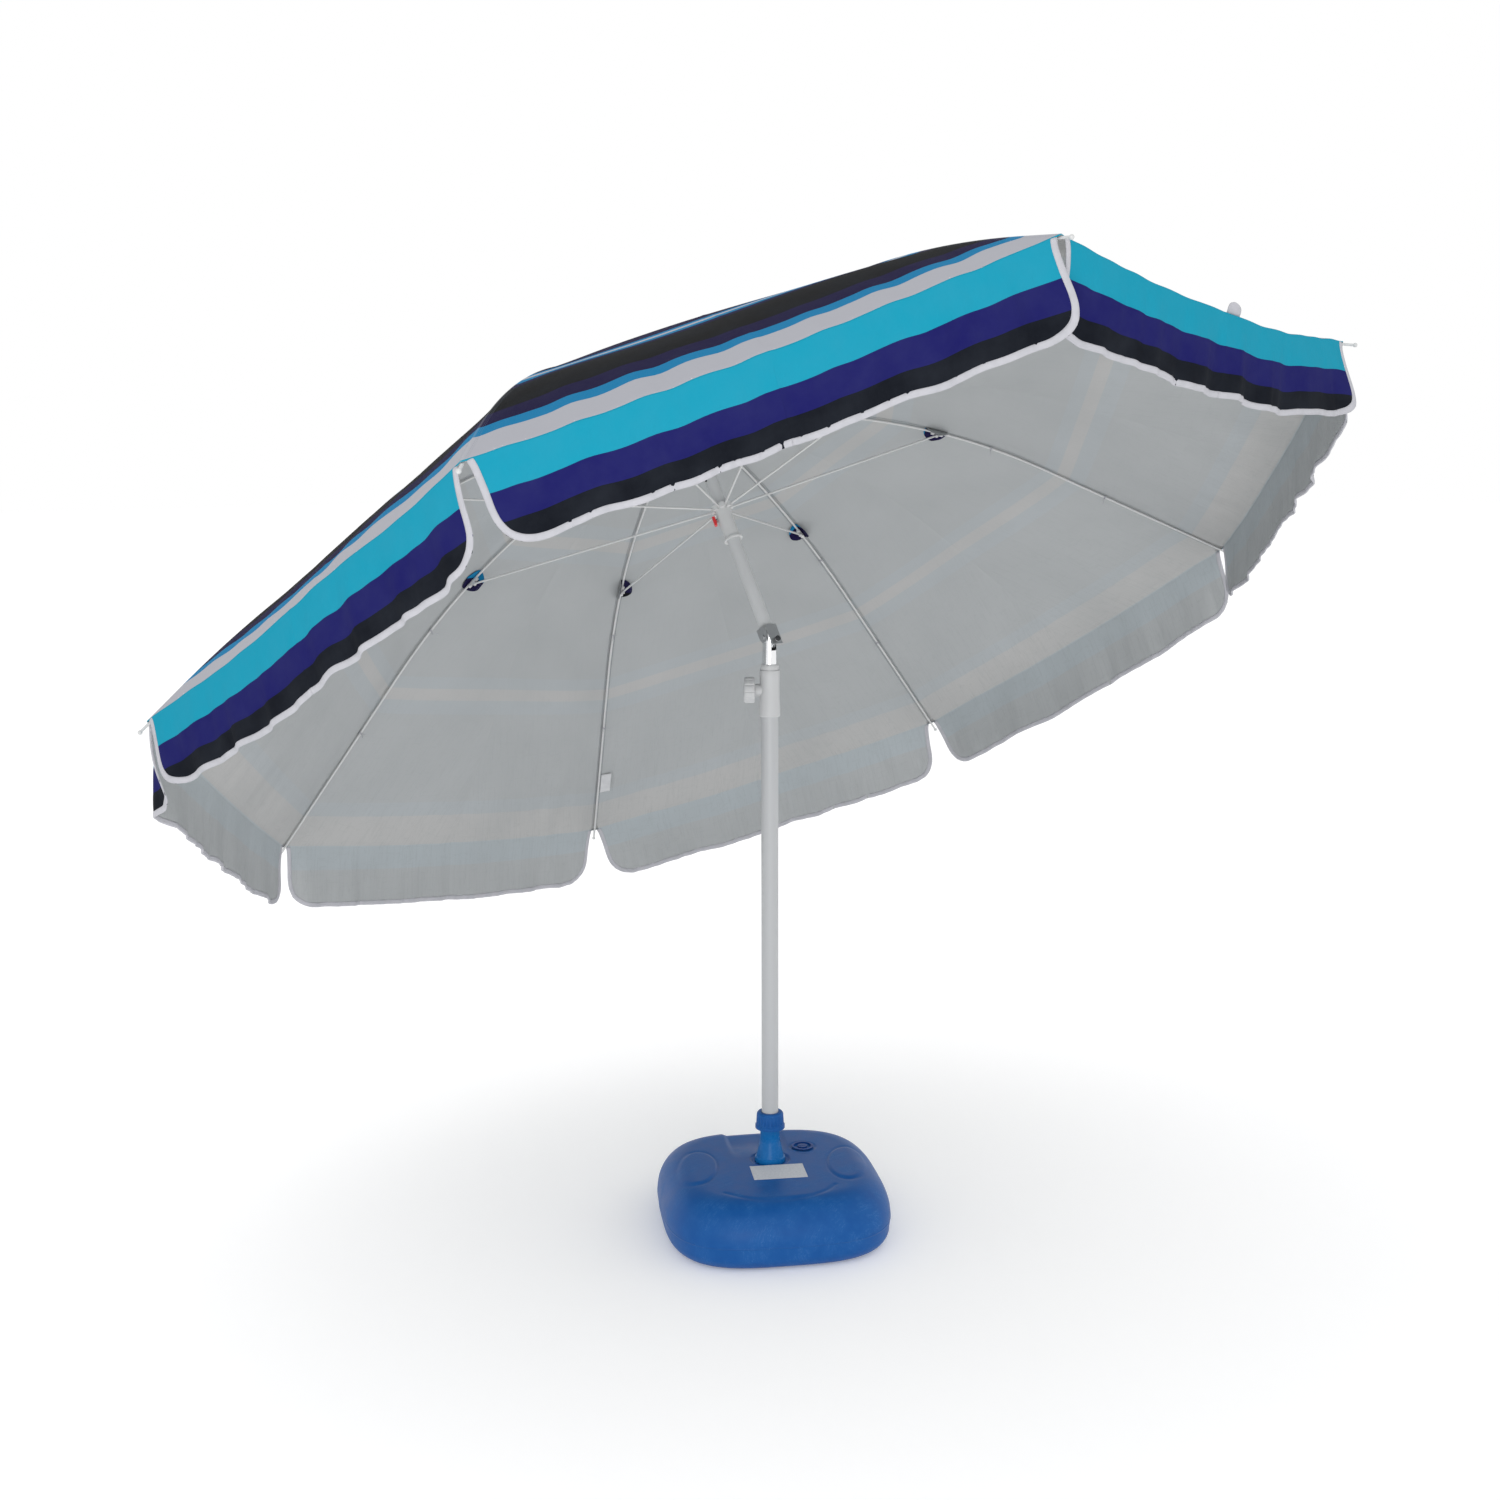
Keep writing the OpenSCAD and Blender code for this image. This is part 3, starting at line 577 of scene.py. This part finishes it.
# How far each corner of the valance swings along the rim (away from its rib) and outwards, in metres
SWING = {(7, -1): (-0.030, 0.014), (7, 1): (0.010, -0.030), (8, -1): (0, -0.006), (8, 1): (0, 0.004),
         (1, 1): (-0.006, 0.006), (1, -1): (0.030, -0.030), (2, 1): (0, -0.008), (2, -1): (0.004, 0.006),
         (3, 1): (-0.008, 0.010), (3, -1): (0, -0.004), (4, 1): (-0.004, -0.010), (4, -1): (0, 0.008),
         (5, 1): (0.006, 0.008), (5, -1): (0, -0.008), (6, 1): (-0.008, 0.014), (6, -1): (-0.070, 0.024)}


def valance_depth(x):
    """The hem's depth below the rim, x along it from a rib."""
    return np.interp(x, CORNER_X, CORNER_D)


def rim_frame(k, side):
    """Level way along the rim from rib k, and level way out of the umbrella, both unit, and the rim's rise."""
    ends = [sector(n, np.array([RIM, 0, float(rib_z(n, RIM))])) for n in (k, beside(k, side))]
    run = ends[1] - ends[0]
    rise = run[2] / math.hypot(run[0], run[1])
    level = np.array([run[0], run[1], 0]) / math.hypot(run[0], run[1])
    out = np.array([level[1], -level[0], 0])
    middle = upper(np.array([0, 0, 0.026]))
    return level, out if out @ (ends[0] - middle) > 0 else -out, rise


def valance_point(k, side, x, d):
    """Cloth of the valance, x along the rim from rib k and d below it."""
    c = x / HALF
    g, u = gore_of(k, side), place_in_gore(side, c)
    rim = canopy_point(k, side, c, np.full_like(c, RIM))
    level, out, rise = rim_frame(k, side)
    along = (u - 0.5) * 2 * HALF
    t = d / DEPTH
    inside = 1 - np.exp(-x / 0.03)
    ruffle = 0.0034 * waves(500 + g, along, 0.35 * d, 0.105, 6, 0.7) * t ** 1.2
    ruffle += 0.0012 * waves(600 + g, along, 0.45 * d, 0.034, 7, 0.9) * t ** 0.7 * np.clip(t / 0.15, 0, 1) * inside
    swing_along, swing_out = SWING[k, side]
    near = np.exp(-(x / 0.11) ** 1.5)
    stand = ruffle + swing_out * near * t ** 1.6 + 0.003 * np.sin(math.pi * np.clip(t, 0, 1))
    if (k, side) == (1, -1):   # this corner is blown out into a belly
        stand = stand + 0.030 * np.exp(-((x - 0.092) / 0.045) ** 2) * np.sqrt(t)
    turned = math.atan(rise) * LEAN
    shift = math.sin(turned) * d + swing_along * near * t ** 1.25
    drop = math.cos(turned) * d + 0.0014 * waves(700 + g, along, d * 0, 0.16, 5) * t
    return rim + stand[..., None] * out + shift[..., None] * level + np.stack([0 * d, 0 * d, -drop], -1)


def surface_normals(p, towards):
    """Unit normals of a grid of points, on the side that `towards` points to."""
    a, b = np.gradient(p, axis=0), np.gradient(p, axis=1)
    n = np.cross(a, b)
    n /= np.maximum(np.linalg.norm(n, axis=-1, keepdims=True), 1e-12)
    flip = np.sign((n * towards).sum(-1).mean())
    return n * flip


# Places of the cloth's points: along the rim from a rib, out from the pole, and down the valance as a share
half_x = np.concatenate([np.array([0, 3, 7.5, 9, 10, 11, 12, 13, 14, 15, 15.7, 16.5, 18, 20, 23, 26.5, 30, 35, 40, 46,
                                   52, 58, 64, 72, 80]) / 1000, np.linspace(0.089, HALF, 36)])
row_r = np.concatenate([[PIN_R, 0.024, 0.034, 0.048, 0.066, 0.088], np.linspace(0.112, RIM, 86)])
row_t = np.array([0.012, 0.04, 0.08, 0.13, 0.19, 0.26, 0.34, 0.42, 0.5, 0.58, 0.66, 0.74, 0.82, 0.88, 0.94, 1.0])


def sector_grid(k):
    """Middle surface of a sector with its valance, as a grid of points, with its cloth coordinates."""
    halves, coords = [], []
    for side in (-1, 1):
        xs = half_x if side > 0 else half_x[::-1]
        c = xs / HALF
        rr, cc = np.meshgrid(row_r, c, indexing="ij")
        top = canopy_point(k, side, cc, rr)
        tt, xx = np.meshgrid(row_t, xs, indexing="ij")
        dd = tt * valance_depth(xx)
        low = valance_point(k, side, xx, dd)
        halves.append(np.concatenate([top, low]))
        u = np.concatenate([cc * rr * math.sin(STEP / 2), xx]) * side
        v = np.concatenate([from_rim(rr), dd])
        coords.append(np.stack([u, v], -1))
    # the two halves share the column on the rib
    points = np.concatenate([halves[0], halves[1][:, 1:]], 1)
    return points, np.concatenate([coords[0], coords[1][:, 1:]], 1)


def squashed(obj):
    """Gives the piece its own copy of its mesh."""
    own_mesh(obj)


def make_cloth(k):
    p, uv = sector_grid(k)
    rows, cols = p.shape[:2]
    out_way = sector(k, np.array([0.3, 0, 1.0])) - sector(k, np.zeros(3))
    n = surface_normals(p, out_way)
    # over the slit the two halves face different ways, so each keeps the normal of its own side
    mid = len(half_x) - 1
    n[len(row_r):, mid] = n[len(row_r):, mid - 1]
    outer, inner = p + n * CLOTH / 2, p - n * CLOTH / 2
    verts = np.concatenate([outer.reshape(-1, 3), inner.reshape(-1, 3)])
    m = rows * cols
    up = np.cross(outer[0, 1] - outer[0, 0], outer[1, 0] - outer[0, 0]) @ n[0, 0] > 0
    faces_out = grid_faces(rows, cols, 0, not up)
    faces_in = grid_faces(rows, cols, m, up)
    edge = np.array(edge_faces(rows, cols))
    if not up:
        edge = edge[:, ::-1]
    faces = np.concatenate([faces_out, faces_in, edge])
    index = [0] * len(faces_out) + [1] * len(faces_in) + [0] * len(edge)
    uvs = np.concatenate([uv.reshape(-1, 2)] * 2)
    obj = piece(f"cloth_{k}", verts, faces, [M["outer"], M["inner"]], index, uvs)
    rim = {i * cols + j for i, j in border(rows, cols)}
    for e in obj.data.edges:
        a, b = e.vertices
        e.use_edge_sharp = (a % m in rim and b % m in rim) and (a < m) == (b < m)
    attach(obj, f"arm_{k}")
    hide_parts(f"canopy_{k}")
    return obj


TAPE_W = 0.009              # width of the binding
PATCH = 0.050               # a patch's diameter
DROOP = {2: (16, 78), 3: (58, 20), 4: (34, 66), 5: (30, 70)}   # its two flaps, degrees from straight down
PATCH_CUT = (-0.122, -0.116, -0.150, -0.126, -0.134, -0.345, -0.435, -0.41)   # where in the stripes each was cut
TIES_AT = ((0.640, 0.020), (0.868, 0.010))   # places of a rib's ties, and how much they vary


def valance_frame(k, side, x, d):
    """Points of the valance with their unit normals, the normals on the outside."""
    e = 0.0006
    p = valance_point(k, side, x, d)
    n = np.cross(valance_point(k, side, x + e, d) - p, valance_point(k, side, x, d + e) - p)
    n /= np.linalg.norm(n, axis=1)[:, None]
    return p, n * np.sign(n @ rim_frame(k, side)[1])[:, None]


def make_binding(k):
    """White tape folded round the valance's edge, down the slit, round the corner and along the hem."""
    parts = []
    for side in (-1, 1):
        xs = np.concatenate([np.linspace(0.0080, 0.080, 400), np.linspace(0.080, HALF - JOIN, 300)[1:]])
        edge = np.stack([xs, valance_depth(xs)], -1)
        run = np.concatenate([[0], np.cumsum(np.linalg.norm(np.diff(edge, axis=0), axis=1))])
        even = np.linspace(0, run[-1], 150)
        edge = np.stack([np.interp(even, run, edge[:, i]) for i in (0, 1)], -1)
        for _ in range(6):
            edge[1:-1] = (edge[:-2] + 2 * edge[1:-1] + edge[2:]) / 4
        t = np.gradient(edge, axis=0)
        t /= np.linalg.norm(t, axis=1)[:, None]
        inward = np.stack([t[:, 1], -t[:, 0]], -1)
        rows = []
        for share in (1.0, 0.66, 0.33, 0.0, -0.08):
            q = edge + inward * TAPE_W * share
            q[:, 0] = np.clip(q[:, 0], 0, HALF - JOIN)
            rows.append(valance_frame(k, side, q[:, 0], np.maximum(q[:, 1], 0.0004)))
        gap = CLOTH / 2 + 0.0008
        lifts = (gap - 0.0004, gap + 0.0001, gap + 0.0001, gap)
        ring = [p + n * h for (p, n), h in zip(rows, lifts)] + [rows[4][0]]
        ring += [p - n * h for (p, n), h in reversed(list(zip(rows, lifts)))]
        verts = np.stack(ring, 1).reshape(-1, 3)
        n, m = len(edge), len(ring)
        faces = [list(f) for f in grid_faces(n, m, 0, side > 0, True)]
        start, tail = list(range(m)), [(n - 1) * m + i for i in range(m)]
        faces += [start, tail[::-1]] if side > 0 else [start[::-1], tail]
        parts.append((verts, faces))
    verts, faces = joined(parts)
    obj = piece(f"binding_{k}", verts, faces, [M["tape"]])
    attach(obj, f"arm_{k}")
    return obj


def make_patch(k):
    """Round patch of the striped cloth laid over the rib at its bracket, striped side down, its flaps drooping."""
    radius, steps = PATCH / 2, 17
    across = np.linspace(-1, 1, steps)
    a, b = np.meshgrid(across, across, indexing="ij")
    # square to disc
    da, db = a * np.sqrt(1 - b * b / 2) * radius, b * np.sqrt(1 - a * a / 2) * radius
    side = np.where(db < 0, -1, 1)
    fold = 0.0040
    ang = np.radians(np.where(side < 0, *DROOP.get(k, (66, 60))))
    flat, bent = np.minimum(np.abs(db), fold), np.maximum(np.abs(db) - fold, 0)
    y = side * (flat + bent * np.sin(ang))
    z = 0.0030 - flat * 0.05 - bent * np.cos(ang) + 0.0011 * np.sin(da * 230 + k) * (bent / radius)
    wx = da * math.cos(JOINT_SLOPE) + z * math.sin(JOINT_SLOPE)
    wz = -da * math.sin(JOINT_SLOPE) + z * math.cos(JOINT_SLOPE)
    p = sector(k, np.stack([JOINT_R + wx, y, float(rib_z(k, JOINT_R)) + wz], -1))
    n = surface_normals(p, sector(k, np.array([0, 0, 1.0])) - sector(k, np.zeros(3)))
    high, low = p + n * 0.0002, p - n * 0.0004
    rows, cols = p.shape[:2]
    faces = np.concatenate([grid_faces(rows, cols, 0, True), grid_faces(rows, cols, rows * cols)])
    edge = np.array(edge_faces(rows, cols))[:, ::-1]
    index = [1] * ((rows - 1) * (cols - 1)) + [0] * ((rows - 1) * (cols - 1) + len(edge))
    uv = np.stack([db + 0.03, PATCH_CUT[k - 1] - da + db * 0.25], -1).reshape(-1, 2)
    obj = piece(f"patch_{k}", np.concatenate([high.reshape(-1, 3), low.reshape(-1, 3)]), np.concatenate([faces, edge]),
                [M["outer"], M["inner"]], index, np.concatenate([uv, uv]))
    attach(obj, f"arm_{k}")
    squashed(obj)
    return obj


def make_ties(k):
    """Threads that hold the cloth to the rib, each a few turns round it and two loose tails."""
    parts = []
    rng = np.random.default_rng(40 + k)
    for r in [at + vary * rng.uniform(-1, 1) for at, vary in TIES_AT]:
        slope = math.atan2(float(rib_z(k, r - 0.002) - rib_z(k, r + 0.002)), 0.004)
        centre = np.array([r, 0, float(rib_z(k, r))])
        ahead = np.array([math.cos(slope), 0, -math.sin(slope)])
        up = np.array([math.sin(slope), 0, math.cos(slope)])
        turn = np.linspace(0, 3 * 2 * math.pi, 54)
        path = centre + np.outer(np.linspace(-0.0018, 0.0018, 54), ahead) \
            + np.outer(0.0029 * np.sin(turn), [0, 1, 0]) + np.outer(-0.0029 * np.cos(turn), up)
        parts.append(tube(sector(k, path), 0.0006, 6))
        for s in (-1, 1):
            q = np.linspace(0, 1, 7)
            length = 0.013 * rng.uniform(0.7, 1.3)
            path = centre + np.outer(-0.0032 - length * q * 0.75, up) \
                + np.outer(s * (0.0006 + length * 0.5 * q ** 1.4), [0, 1, 0]) + np.outer(s * 0.003 * q, ahead)
            parts.append(tube(sector(k, path), 0.00055, 6))
    verts, faces = joined(parts)
    obj = piece(f"ties_{k}", verts, faces, [M["tape"]])
    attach(obj, f"arm_{k}")
    return obj


def slab(p, n, thick):
    """(points, faces) of a thin closed sheet over a grid of points with its normals."""
    rows, cols = p.shape[:2]
    faces = [*grid_faces(rows, cols), *grid_faces(rows, cols, rows * cols, True), *edge_faces(rows, cols)]
    return np.concatenate([(p + n * thick / 2).reshape(-1, 3), (p - n * thick / 2).reshape(-1, 3)]), faces


def make_label():
    """Blank sewn-in label beside rib 3, hanging a little off the cloth's underside."""
    r, c = np.meshgrid(np.linspace(0.975, 1.018, 12), np.linspace(0, 1, 9), indexing="ij")
    width = 0.006 + 0.024 * c
    share = width / (r * math.sin(STEP / 2))
    p = canopy_point(3, -1, share, r)
    up = sector(3, np.array([0.45, 0, 1.0])) - sector(3, np.zeros(3))
    n = surface_normals(p, up)
    p = p - n * (0.0016 + 0.005 * c[..., None] ** 1.5 + 0.0012 * np.sin(3 * (r[..., None] - 0.97) / 0.043))
    verts, faces = slab(p, n, 0.0006)
    obj = piece("care_label", verts, faces, [M["label"]])
    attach(obj, "arm_3")
    return obj


def make_strap():
    """Rounded end of the closing strap, sewn inside the rim between ribs 6 and 7 and standing up over it."""
    t, c = np.meshgrid(np.linspace(0, 1, 14), np.linspace(-1, 1, 15), indexing="ij")
    half = 0.0195 * np.sqrt(np.clip(1 - np.clip((t - 0.40) / 0.60, 0, 1) ** 2, 0.015, 1))
    x = 0.398 + c * half
    p = canopy_point(6, -1, x / HALF, np.full_like(x, RIM - 0.004))
    out = rim_frame(6, -1)[1]
    p = p + np.stack([0 * t, 0 * t, 0.0012 + 0.0185 * t], -1) + (0.0030 * np.sin(2.2 * t))[..., None] * out
    verts, faces = slab(p, np.broadcast_to(out, p.shape), 0.0014)
    obj = piece("strap_end", verts, faces, [M["tape"]])
    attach(obj, "arm_6")
    return obj


for k in range(1, RIBS + 1):
    cloth = make_cloth(k)
    binding = make_binding(k)
    patch = make_patch(k)
    make_ties(k)
    extra = [make_label()] if k == 3 else [make_strap()] if k == 6 else []
    for soft in [cloth, binding] + extra:
        squashed(soft)


# ---------- base ----------

def base_local(x, y):
    """Row-frame point in the base's own plane, in metres."""
    c, s = math.cos(BASE_YAW), math.sin(BASE_YAW)
    return x * c + y * s, -x * s + y * c + BASE_SHIFT


def base_world(p):
    """The same, back into the row frame."""
    x, y = p[..., 0], p[..., 1] - BASE_SHIFT
    c, s = math.cos(BASE_YAW), math.sin(BASE_YAW)
    return np.stack([x * c - y * s, x * s + y * c, p[..., 2]], -1)


def soft_step(v, at, width):
    t = np.clip((v - at) / width + 0.5, 0, 1)
    return t * t * (3 - 2 * t)


# Features of the base's top: two raised ovals, a sunk curved line, the filler well
OVALS = [base_local(-0.049, -0.139), base_local(0.107, 0.104)]
SMILE = [base_local(*p) for p in ((0.078, -0.167), (0.112, -0.155), (0.137, -0.136), (0.165, -0.098), (0.184, -0.048),
                                  (0.184, -0.012), (0.172, 0.018))]
FILLER = (0.073, 0.072)
OVAL_AZ = math.radians(-38.6) - BASE_YAW   # the way the ovals lie


def top_relief(x, y):
    """Raised and sunk features of the base's top, in metres, over its own plane."""
    h = np.zeros_like(x)
    for ox, oy in OVALS:
        c, s = math.cos(OVAL_AZ), math.sin(OVAL_AZ)
        a, b = (x - ox) * c + (y - oy) * s, -(x - ox) * s + (y - oy) * c
        d = np.sqrt((a / 0.0775) ** 2 + (b / 0.038) ** 2)
        ring = (d - 1) * 0.045
        h += 0.0022 * (1 - soft_step(d, 1.0, 0.16)) - 0.0016 * np.exp(-(ring / 0.0032) ** 2)
    pts = np.array(SMILE)
    fine = np.stack([np.interp(np.linspace(0, 1, 90), np.linspace(0, 1, len(pts)), pts[:, i]) for i in (0, 1)], -1)
    for _ in range(30):
        fine[1:-1] = (fine[:-2] + fine[1:-1] * 2 + fine[2:]) / 4
    d = np.min(np.hypot(x[..., None] - fine[:, 0], y[..., None] - fine[:, 1]), -1)
    h -= 0.0016 * np.exp(-(d / 0.0045) ** 2)
    far = np.hypot(x, y - BASE_SHIFT)
    h -= 0.0032 * (1 - soft_step(far, 0.0375, 0.004))
    well = np.hypot(x - FILLER[0], y - FILLER[1])
    h -= 0.0012 * (1 - soft_step(well, 0.0265, 0.004))
    channel = soft_step(x, -0.068, 0.014) * (1 - soft_step(x, 0.040, 0.014)) * soft_step(y, 0.078, 0.09)
    h -= 0.0068 * channel
    return h


def outline(angle, inset=0.0):
    p = 2 / 3.25
    c, s = np.cos(angle), np.sin(angle)
    a = BASE_HALF - inset
    return np.stack([a * np.sign(c) * np.abs(c) ** p, a * np.sign(s) * np.abs(s) ** p], -1)


def make_base():
    around = 336
    # even spacing round the outline, not in its angle
    dense = outline(np.linspace(0, 2 * math.pi, 4001))
    run = np.concatenate([[0], np.cumsum(np.linalg.norm(np.diff(dense, axis=0), axis=1))])
    angle = np.interp(np.linspace(0, run[-1], around, endpoint=False), run, np.linspace(0, 2 * math.pi, 4001))
    shoulder, foot, part_line = 0.062, 0.030, 0.050
    edge = outline(angle, shoulder)
    hole_way = edge - [0, BASE_SHIFT]
    hole_way /= np.linalg.norm(hole_way, axis=1)[:, None]
    hole = hole_way * 0.0296 + [0, BASE_SHIFT]
    rings = []
    # down inside the hole, for the moulded wall's edge
    for z in (0.1165, 0.1182):
        rings.append(np.column_stack([hole, np.full(around, z)]))
    inner_t = np.concatenate([[0.0, 0.01, 0.02], np.linspace(0.03, 1, 84)])
    for t in inner_t:
        xy = hole * (1 - t) + edge * t
        z = BASE_TOP + top_relief(xy[:, 0], xy[:, 1])
        rings.append(np.column_stack([xy, z]))
    relief_edge = rings[-1][:, 2] - BASE_TOP
    for a in np.radians(np.linspace(3, 90, 26)):
        inset = shoulder * (1 - math.sin(a))
        xy = outline(angle, inset)
        drop = (BASE_TOP - part_line) * (1 - math.cos(a))
        fade = max(0.0, 1 - (a / math.radians(75)))
        relief = top_relief(xy[:, 0], xy[:, 1])
        rings.append(np.column_stack([xy, BASE_TOP - drop + relief * fade]))
    # the mould's parting line stands out a little
    for z, inset in ((0.0492, 0.0001), (0.0488, -0.0004), (0.0478, -0.0004), (0.0474, 0.0001), (0.044, 0.0004),
                     (0.038, 0.0009), (0.032, 0.0018)):
        rings.append(np.column_stack([outline(angle, inset), np.full(around, z)]))
    for a in np.radians(np.linspace(8, 90, 16)):
        rings.append(np.column_stack([outline(angle, 0.0018 + foot * (1 - math.cos(a))),
                                      np.full(around, foot * (1 - math.sin(a)))]))
    for t in (0.9, 0.6, 0.3, 0.05):
        rings.append(np.column_stack([outline(angle, 0.0318) * t, np.full(around, 0.0015 if t < 0.9 else 0.0)]))
    points = np.stack(rings)
    verts = base_world(points).reshape(-1, 3)
    faces = [list(f) for f in grid_faces(len(rings), around, 0, True, True)]
    faces.append([(len(rings) - 1) * around + i for i in range(around)])
    obj = piece("base_body", verts, faces, [M["blue"]])
    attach(obj, "base")
    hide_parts("base_shell")
    return obj


make_base()

# ---------- stage, light and camera ----------

def backdrop():
    """Pale floor."""
    size = 40.0
    verts = [(-size, -size, 0), (size, -size, 0), (size, size, 0), (-size, size, 0)]
    floor = piece("floor", verts, [(0, 1, 2, 3)], [], smooth=False)
    s = Shader("floor_pale", srgb(242, 242, 242), 0.8)
    s.set("Base Color", s.mix(srgb(249, 249, 249), srgb(246, 246, 247), s.noise(s.where(), 0.7, 2.0)))
    s.set("Specular IOR Level", 0.0)
    s.set("Emission Color", (1, 1, 1, 1))
    s.set("Emission Strength", 0.16)
    floor.data.materials.append(s.mat)
    floor.location.z = -0.0005


def area(name, at, towards, size, watts):
    """Round soft light."""
    light = bpy.data.lights.new(name, "AREA")
    light.shape, light.size, light.energy = "DISK", size, watts
    obj = bpy.data.objects.new(name, light)
    bpy.context.scene.collection.objects.link(obj)
    obj.location = at
    obj.rotation_euler = (Vector(towards) - Vector(at)).to_track_quat("-Z", "Y").to_euler()


backdrop()
world = bpy.data.worlds.new("studio")
world.use_nodes = True
world.node_tree.nodes["Background"].inputs["Color"].default_value = (1, 1, 1, 1)
world.node_tree.nodes["Background"].inputs["Strength"].default_value = 1.0
bpy.context.scene.world = world
area("key", (3.2, -3.6, 4.6), (0, 0, 1.2), 3.0, 14)
area("fill", (-3.8, -2.2, 3.2), (0, 0, 1.3), 3.0, 6)
area("low", (2.9, -2.3, 0.75), (-0.2, 0, 1.35), 1.6, 26)

camera = bpy.data.cameras.new("camera")
camera.sensor_width = 36
camera.lens = 43.51
view = bpy.data.objects.new("camera", camera)
bpy.context.scene.collection.objects.link(view)
view.location = (2.59923, -2.07561, 1.48380)
view.rotation_euler = [math.radians(angle) for angle in (80.4278, 0.1467, 51.9992)]
bpy.context.scene.camera = view
bpy.context.scene.view_settings.view_transform = "Standard"
